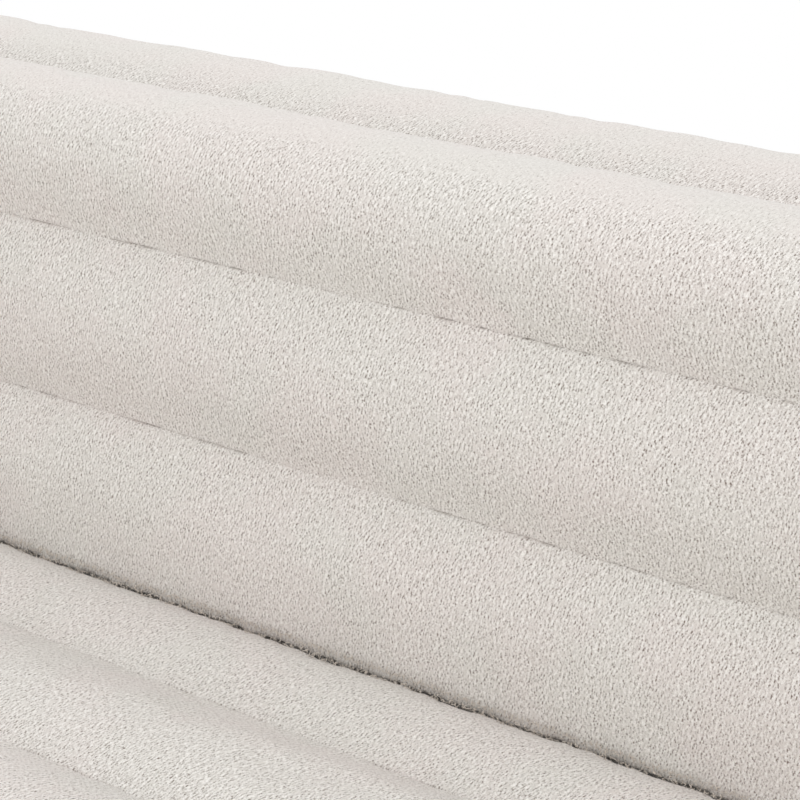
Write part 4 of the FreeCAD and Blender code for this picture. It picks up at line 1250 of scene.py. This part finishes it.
class SOFA_OT_cushion_zip(bpy.types.Operator):
    """Sew the zip into the rear boxing of the cushion"""
    bl_idname = "sofa.cushion_zip"
    bl_label = "Cushion Zip"

    def execute(self, context):
        low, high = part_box("cushion_zip")
        teeth, tape = 0.005, 0.0008
        face = low.y + tape
        middle = (low.z + high.z) / 2
        stations = np.linspace(low.x, high.x, 240)
        patches = []
        for side in (-1, 1):
            width = (high.z - low.z) / 2 - 0.0008
            across = np.linspace(-width / 2, width / 2, 9)
            thick = tape / 2 * np.array([0.6, 0.9, 0.9, 0.85, 0.85, 0.85, 0.9, 1.0, 1.0])[::side]

            def place(off_z, off_y, x, side=side, width=width):
                wave = 0.00012 * ripple(x, off_z, 0.03, 0.5, 431)
                return np.stack([x, low.y + tape / 2 + off_y + wave, middle + side * (width / 2 + 0.0008) + off_z], 2)
            patches += strap(across, thick, stations, place)
        put("cushion_zip_tape", grid_mesh("cushion_zip", patches, closed=True), material("zip_tape_ivory"),
            body="seat_cushion", stands_for=("cushion_zip",))
        pattern = Pattern("cushion_zip_teeth", spacing=0.0036, width=0.0013, depth=high.y - face, reach=teeth * 0.62)
        shape = pattern.node("GeometryNodeMeshCube", {
            "Size": pattern.vector(pattern.size("Width"), pattern.size("Depth"), pattern.size("Reach"))})
        rows = [pattern.placed(pattern.stations(pattern.vector(shift, 0.0, side * teeth * 0.19)), shape)
                for side, shift in ((-1, -0.0009), (1, 0.0009))]
        both = pattern.tree.nodes.new("GeometryNodeJoinGeometry")
        for row in rows:
            pattern.tree.links.new(row, both.inputs[0])
        line = [(low.x + 0.016, (face + high.y) / 2, middle), (high.x - 0.002, (face + high.y) / 2, middle)]
        mesh = pattern.run(both.outputs[0], [line], material("zip_brass"))
        put("cushion_zip_teeth", mesh, material("zip_brass"), body="seat_cushion")
        pattern = Pattern("cushion_zip_stitches", spacing=0.0042, length=0.0028, rise=0.0001, radius=0.0002)
        pieces = pattern.placed(pattern.stations(), pattern.bent_thread(), pattern.heading())
        lines = [[(low.x + 0.004, face + 0.0001, z), (high.x - 0.004, face + 0.0001, z)]
                 for z in (low.z + 0.003, high.z - 0.003)]
        put("cushion_zip_stitches", pattern.run(pieces, lines, material("thread_ivory")), material("thread_ivory"),
            body="seat_cushion")
        return {"FINISHED"}


class SOFA_OT_underside(bpy.types.Operator):
    """Staple the dust cover under the frame"""
    bl_idname = "sofa.underside"
    bl_label = "Underside"

    def execute(self, context):
        low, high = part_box("dust_cover")
        level = (low.z + high.z) / 2
        hole, corner = 0.0365, 0.038
        legs = [((a.x + b.x) / 2, (a.y + b.y) / 2) for a, b in
                (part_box("leg_" + name) for name in ("front_left", "front_right", "rear_left", "rear_right"))]
        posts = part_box("centre_legs")
        legs += [(0.0, posts[0].y + 0.026), (0.0, posts[1].y - 0.026)]

        def lines(start, stop, centres):
            marks = sorted({round(c + s * hole, 5) for c in centres for s in (-1, 1)} | {start, stop})
            made = [np.linspace(a, b, max(int((b - a) / 0.014), 1) + 1)[:-1] for a, b in zip(marks, marks[1:])]
            return np.concatenate(made + [[stop]])

        x = lines(low.x, high.x, [leg[0] for leg in legs])[None, :]
        y = lines(low.y, high.y, [leg[1] for leg in legs])[:, None]
        x, y = x + 0 * y, y + 0 * x
        into = np.clip((np.abs(x) - (high.x - corner)) / corner, 0, 1)
        limit = high.y - corner * (1 - np.sqrt(1 - into ** 2))
        y = np.where(y > high.y - corner, np.minimum(y, high.y - corner + (y - high.y + corner)
                                                     * (limit - high.y + corner) / corner), y)
        near = np.minimum(np.minimum(high.x - np.abs(x), y - low.y), high.y - y)
        for place in legs:
            near = np.minimum(near, np.maximum(np.abs(x - place[0]), np.abs(y - place[1])) - hole)
        sag = 0.0045 * eased(near, 0.018, 0.16) + 0.0006 * ripple(x, y, 0.045, 0.06, 441) * eased(near, 0.0, 0.03)
        middle = [(x[:-1, :-1] + x[1:, 1:]) / 2, (y[:-1, :-1] + y[1:, 1:]) / 2]
        kept = np.ones(middle[0].shape, bool)
        for place in legs:
            kept &= np.maximum(np.abs(middle[0] - place[0]), np.abs(middle[1] - place[1])) > hole
        points = np.stack([x, y, level - np.maximum(sag, 0)], 2)
        mesh = grid_mesh("dust_cover", [(points, np.stack([x, y], 2), False)], kept=kept)
        width, depth = high.x - low.x, high.y - low.y
        area = width * depth - len(legs) * (2 * hole) ** 2
        put("dust_cover_sheet", mesh, material("dust_cloth_black"), stands_for=("dust_cover",),
            sheet={"flat": (width, depth), "held": "stretched", "rests_on": ["front_rail", "rear_rail"],
                   "area": area, "thickness": 0.0008})
        pattern = Pattern("dust_cover_staples", spacing=0.042, length=0.0105, rise=-0.0007, radius=0.0005)
        pieces = pattern.placed(pattern.stations(), pattern.bent_thread(), pattern.heading())
        inset, height = 0.010, low.z
        turn = np.linspace(0, np.pi / 2, 7)
        reach_x, reach_y, bend = high.x - inset, high.y - inset, corner - inset
        right = [(reach_x - bend + bend * np.cos(a), reach_y - bend + bend * np.sin(a), height) for a in turn]
        left = [(-px, py, pz) for px, py, pz in right[::-1]]
        front = low.y + inset
        path = [(-reach_x, front, height), (reach_x, front, height)] + right + left + [(-reach_x, front, height)]
        put("dust_cover_staples", pattern.run(pieces, [path], material("steel_zinc")), material("steel_zinc"))
        return {"FINISHED"}


class SOFA_OT_crease_fluff(bpy.types.Operator):
    """Let loose loops of the boucle stand out along the crease"""
    bl_idname = "sofa.crease_fluff"
    bl_label = "Crease Fluff"

    def execute(self, context):
        sizes = context.scene.sofa_sizes
        reach = CUSHION_HIGH.x - 0.012
        for name, body, out, up, seed in (("back_fluff", "sofa_frame", sizes.fluff_out, sizes.fluff_height, 7),
                                          ("cushion_fluff", "seat_cushion", sizes.fluff_out + 0.0072,
                                           sizes.fluff_height - 0.0015, 19)):
            pattern = Pattern(name, spacing=0.0011, length=0.0027, rise=0.0016, radius=0.0003, seed=seed)
            shift = pattern.random((-0.0006, -0.0020, -0.0018), (0.0006, 0.0012, 0.0016), 1)
            turn = pattern.random((0.0, 0.0, 0.0), (6.283, 6.283, 6.283), 2)
            scale = pattern.random((0.45, 0.45, 0.45), (1.2, 1.2, 1.2), 3)
            pieces = pattern.placed(pattern.stations(shift), pattern.bent_thread(), turn, scale)
            line = [(-reach, BACK_MIDDLE - out, up), (reach, BACK_MIDDLE - out, up)]
            put(name, pattern.run(pieces, [line], material("loop_ivory")), material("loop_ivory"), body=body)
        return {"FINISHED"}


class SOFA_OT_carried_parts(bpy.types.Operator):
    """Give the timber, panels, steel and plastic parts their finishes"""
    bl_idname = "sofa.carried_parts"
    bl_label = "Carried Parts"

    def execute(self, context):
        finishes = {
            "timber_pine": ("board", "rail", "posts", "blocks"),
            "hardboard_brown": ("panel",),
            "steel_zinc": ("plates", "screws", "bolts", "clips"),
            "steel_spring": ("springs", "wires"),
            "glide_nylon": ("glides",),
            "leg_dark_oak": ("leg_", "centre_legs"),
            "zip_brass": ("zip_slider",),
        }
        for node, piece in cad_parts.items():
            if piece.hide_render:
                continue
            found = [name for name, words in finishes.items() if any(word in node for word in words)]
            if not found:
                raise RuntimeError("no finish for " + node)
            name = found[0] if not node.startswith(("leg_front", "leg_rear")) else "leg_dark_oak"
            for index in range(len(piece.material_slots)):
                piece.material_slots[index].material = material(name)
        return {"FINISHED"}


class SOFA_OT_stage(bpy.types.Operator):
    """Set the floor, the lamps, the white surroundings and the camera"""
    bl_idname = "sofa.stage"
    bl_label = "Stage"

    def execute(self, context):
        scene = context.scene
        sizes = scene.sofa_sizes
        work = bmesh.new()
        bmesh.ops.create_grid(work, x_segments=1, y_segments=1, size=9.0)
        mesh = bpy.data.meshes.new("floor")
        work.to_mesh(mesh)
        work.free()
        floor = bpy.data.objects.new("floor", mesh)
        scene.collection.objects.link(floor)
        paint = Paint("floor_pale", Roughness=0.8, Specular_IOR_Level=0.2)
        place = paint.node("TexCoord", output="Object")
        distance = paint.node("VectorMath", {0: place}, output=1, operation="LENGTH")
        dust = paint.noise(place, 3.0, 2.0)
        paint.feed(paint.surface.inputs["Base Color"],
                   paint.mix(dust * 0.3, linear(238, 237, 235), linear(232, 231, 229)))
        light = paint.tree.nodes.new("ShaderNodeLightPath")
        seen = [Wire(paint, light.outputs[name]) for name in
                ("Is Camera Ray", "Is Glossy Ray", "Is Transmission Ray")]
        white = paint.node("Emission", {"Color": (1, 1, 1, 1), "Strength": 1.0})
        share = distance.step(1.7, 3.2) * (seen[0] + seen[1] + seen[2]).step(0.0, 1.0)
        blend = paint.tree.nodes.new("ShaderNodeMixShader")
        paint.feed(blend.inputs[0], share)
        paint.tree.links.new(paint.surface.outputs[0], blend.inputs[1])
        paint.tree.links.new(white.socket, blend.inputs[2])
        paint.tree.links.new(blend.outputs[0], paint.tree.nodes["Material Output"].inputs[0])
        mesh.materials.append(paint.material)

        world = bpy.data.worlds.new("studio")
        scene.world = world
        world.use_nodes = True
        tree = world.node_tree
        back = tree.nodes["Background"]
        back.inputs[0].default_value = (1, 1, 1, 1)
        back.inputs[1].default_value = sizes.sky_level
        path = tree.nodes.new("ShaderNodeLightPath")
        plain = tree.nodes.new("ShaderNodeBackground")
        plain.inputs[0].default_value, plain.inputs[1].default_value = (1, 1, 1, 1), 1.0
        sight = tree.nodes.new("ShaderNodeMath")
        sight.operation = "MAXIMUM"
        tree.links.new(path.outputs["Is Camera Ray"], sight.inputs[0])
        other = tree.nodes.new("ShaderNodeMath")
        other.operation = "MAXIMUM"
        tree.links.new(path.outputs["Is Glossy Ray"], other.inputs[0])
        tree.links.new(path.outputs["Is Transmission Ray"], other.inputs[1])
        tree.links.new(other.outputs[0], sight.inputs[1])
        blend = tree.nodes.new("ShaderNodeMixShader")
        tree.links.new(sight.outputs[0], blend.inputs[0])
        tree.links.new(back.outputs[0], blend.inputs[1])
        tree.links.new(plain.outputs[0], blend.inputs[2])
        tree.links.new(blend.outputs[0], tree.nodes["World Output"].inputs[0])

        for name, place, target, size, power in (
                ("key_softbox", (1.5, -2.9, 1.5), (0.2, 0.1, 0.5), 2.4, sizes.key_power),
                ("top_softbox", (-0.6, 0.9, 3.4), (0, 0.2, 0.4), 2.6, sizes.top_power)):
            lamp = bpy.data.lights.new(name, "AREA")
            lamp.shape, lamp.size, lamp.energy = "SQUARE", size, power
            holder = bpy.data.objects.new(name, lamp)
            holder.location = place
            way = np.array(target) - np.array(place)
            holder.rotation_euler = (math.acos(way[2] / np.linalg.norm(way)) + math.pi, 0,
                                     math.atan2(way[1], way[0]) - math.pi / 2)
            holder.rotation_euler[0] = math.acos(-way[2] / np.linalg.norm(way))
            scene.collection.objects.link(holder)

        lens = bpy.data.cameras.new("camera")
        lens.lens, lens.sensor_width = 125.1, 36.0
        camera = bpy.data.objects.new("camera", lens)
        camera.location = (1.13, -1.0193, 1.1195)
        camera.rotation_euler = (math.radians(90 - 17.641), 0, math.radians(41.613))
        scene.collection.objects.link(camera)
        scene.camera = camera
        scene.view_settings.view_transform = "Standard"
        return {"FINISHED"}


class SofaSizes(bpy.types.PropertyGroup):
    column: FloatProperty(name="Column", description="Spacing of the cover mesh along a channel",
                          default=0.0037, min=0.001, subtype="DISTANCE", precision=4)
    seam_tuck: FloatProperty(name="Seam tuck", description="Depth that a channel seam is pulled in",
                             default=0.0034, subtype="DISTANCE", precision=4)
    valley_tuck: FloatProperty(name="Valley tuck", description="Depth of the seam on top of the wall",
                               default=0.005, subtype="DISTANCE", precision=4)
    seat_tuck: FloatProperty(name="Seat tuck", description="Depth of the seams of the seat cushion",
                             default=0.003, subtype="DISTANCE", precision=4)
    crest_wave: FloatProperty(name="Crest wave", description="Unevenness of a channel's crest",
                              default=0.0012, subtype="DISTANCE", precision=4)
    seam_fill: FloatProperty(name="Seam fill", description="How far the rolls fill the groove between them",
                             default=0.0042, subtype="DISTANCE", precision=4)
    pucker: FloatProperty(name="Pucker", description="Height of the puckers beside a seam",
                          default=0.0011, subtype="DISTANCE", precision=4)
    puff: FloatProperty(name="Puff", description="Pressure under the covers while they settle", default=4.0)
    slack: FloatProperty(name="Slack", description="Share of extra cloth in the covers", default=0.02)
    settle_level: FloatProperty(name="Settle level", description="Share of the even swelling that is taken back",
                                default=0.8)
    settle_cap: FloatProperty(name="Settle cap", description="Furthest that settling moves a cover",
                              default=0.0012, subtype="DISTANCE", precision=4)
    foam_inset: FloatProperty(name="Foam inset", description="Distance from the cover's face to the foam",
                              default=0.010, subtype="DISTANCE", precision=4)
    fray: FloatProperty(name="Fray", description="Unevenness of the two edges of the crease",
                        default=0.0012, subtype="DISTANCE", precision=4)
    fluff_out: FloatProperty(name="Fluff out", description="Distance of the loose loops from the back's middle",
                             default=0.1062, subtype="DISTANCE", precision=4)
    fluff_height: FloatProperty(name="Fluff height", description="Height of the loose loops over the floor",
                                default=0.4193, subtype="DISTANCE", precision=4)
    sky_level: FloatProperty(name="Sky level", description="Strength of the surroundings' light", default=0.95)
    key_power: FloatProperty(name="Key power", description="Power of the front softbox", default=22.0, unit="POWER")
    top_power: FloatProperty(name="Top power", description="Power of the softbox overhead", default=10.0, unit="POWER")


def tone(label, description, default):
    return FloatVectorProperty(name=label, description=description, default=default, size=3, min=0, max=255)


class SofaColours(bpy.types.PropertyGroup):
    fabric_warm: tone("Fabric warm", "Warm patches of the boucle, 0 to 255", (223, 216, 211))
    fabric_cool: tone("Fabric cool", "Cool patches of the boucle, 0 to 255", (221, 217, 211))
    # The palest loops are partly the yarn's own colour and partly painted highlight on the crowns of the loops.
    fabric_loop: tone("Fabric loop", "Palest loops of the boucle, 0 to 255", (246, 243, 239))
    # The gap colour is partly the weave and partly painted shade between the loops.
    fabric_gap: tone("Fabric gap", "Gaps between the loops, 0 to 255", (116, 100, 88))
    leg_dark: tone("Leg dark", "Dark grain of the legs, 0 to 255", (52, 36, 26))
    leg_pale: tone("Leg pale", "Pale grain of the legs, 0 to 255", (86, 62, 44))


OPERATORS = (SOFA_OT_wall_covers, SOFA_OT_wall_foam, SOFA_OT_front_roll, SOFA_OT_seat_cushion,
             SOFA_OT_seat_deck, SOFA_OT_back_webbing, SOFA_OT_cushion_zip, SOFA_OT_underside,
             SOFA_OT_crease_fluff, SOFA_OT_carried_parts, SOFA_OT_stage)


class SOFA_PT_panel(bpy.types.Panel):
    """Sizes, colours and pieces of the sofa"""
    bl_idname = "SOFA_PT_panel"
    bl_label = "Tuxedo Sofa"
    bl_space_type = "VIEW_3D"
    bl_region_type = "UI"
    bl_category = "Sofa"

    def draw(self, context):
        for group in (context.scene.sofa_sizes, context.scene.sofa_colours):
            for name in group.__annotations__:
                self.layout.prop(group, name)
        for operator in OPERATORS:
            self.layout.operator(operator.bl_idname)


CLASSES = (SofaSizes, SofaColours, *OPERATORS, SOFA_PT_panel)


def register():
    for item in CLASSES:
        bpy.utils.register_class(item)
    bpy.types.Scene.sofa_sizes = PointerProperty(type=SofaSizes)
    bpy.types.Scene.sofa_colours = PointerProperty(type=SofaColours)


def unregister():
    del bpy.types.Scene.sofa_colours
    del bpy.types.Scene.sofa_sizes
    for item in reversed(CLASSES):
        bpy.utils.unregister_class(item)


def main():
    register()
    for operator in OPERATORS:
        group, name = operator.bl_idname.split(".")
        getattr(getattr(bpy.ops, group), name)()


if __name__ == "__main__":
    main()
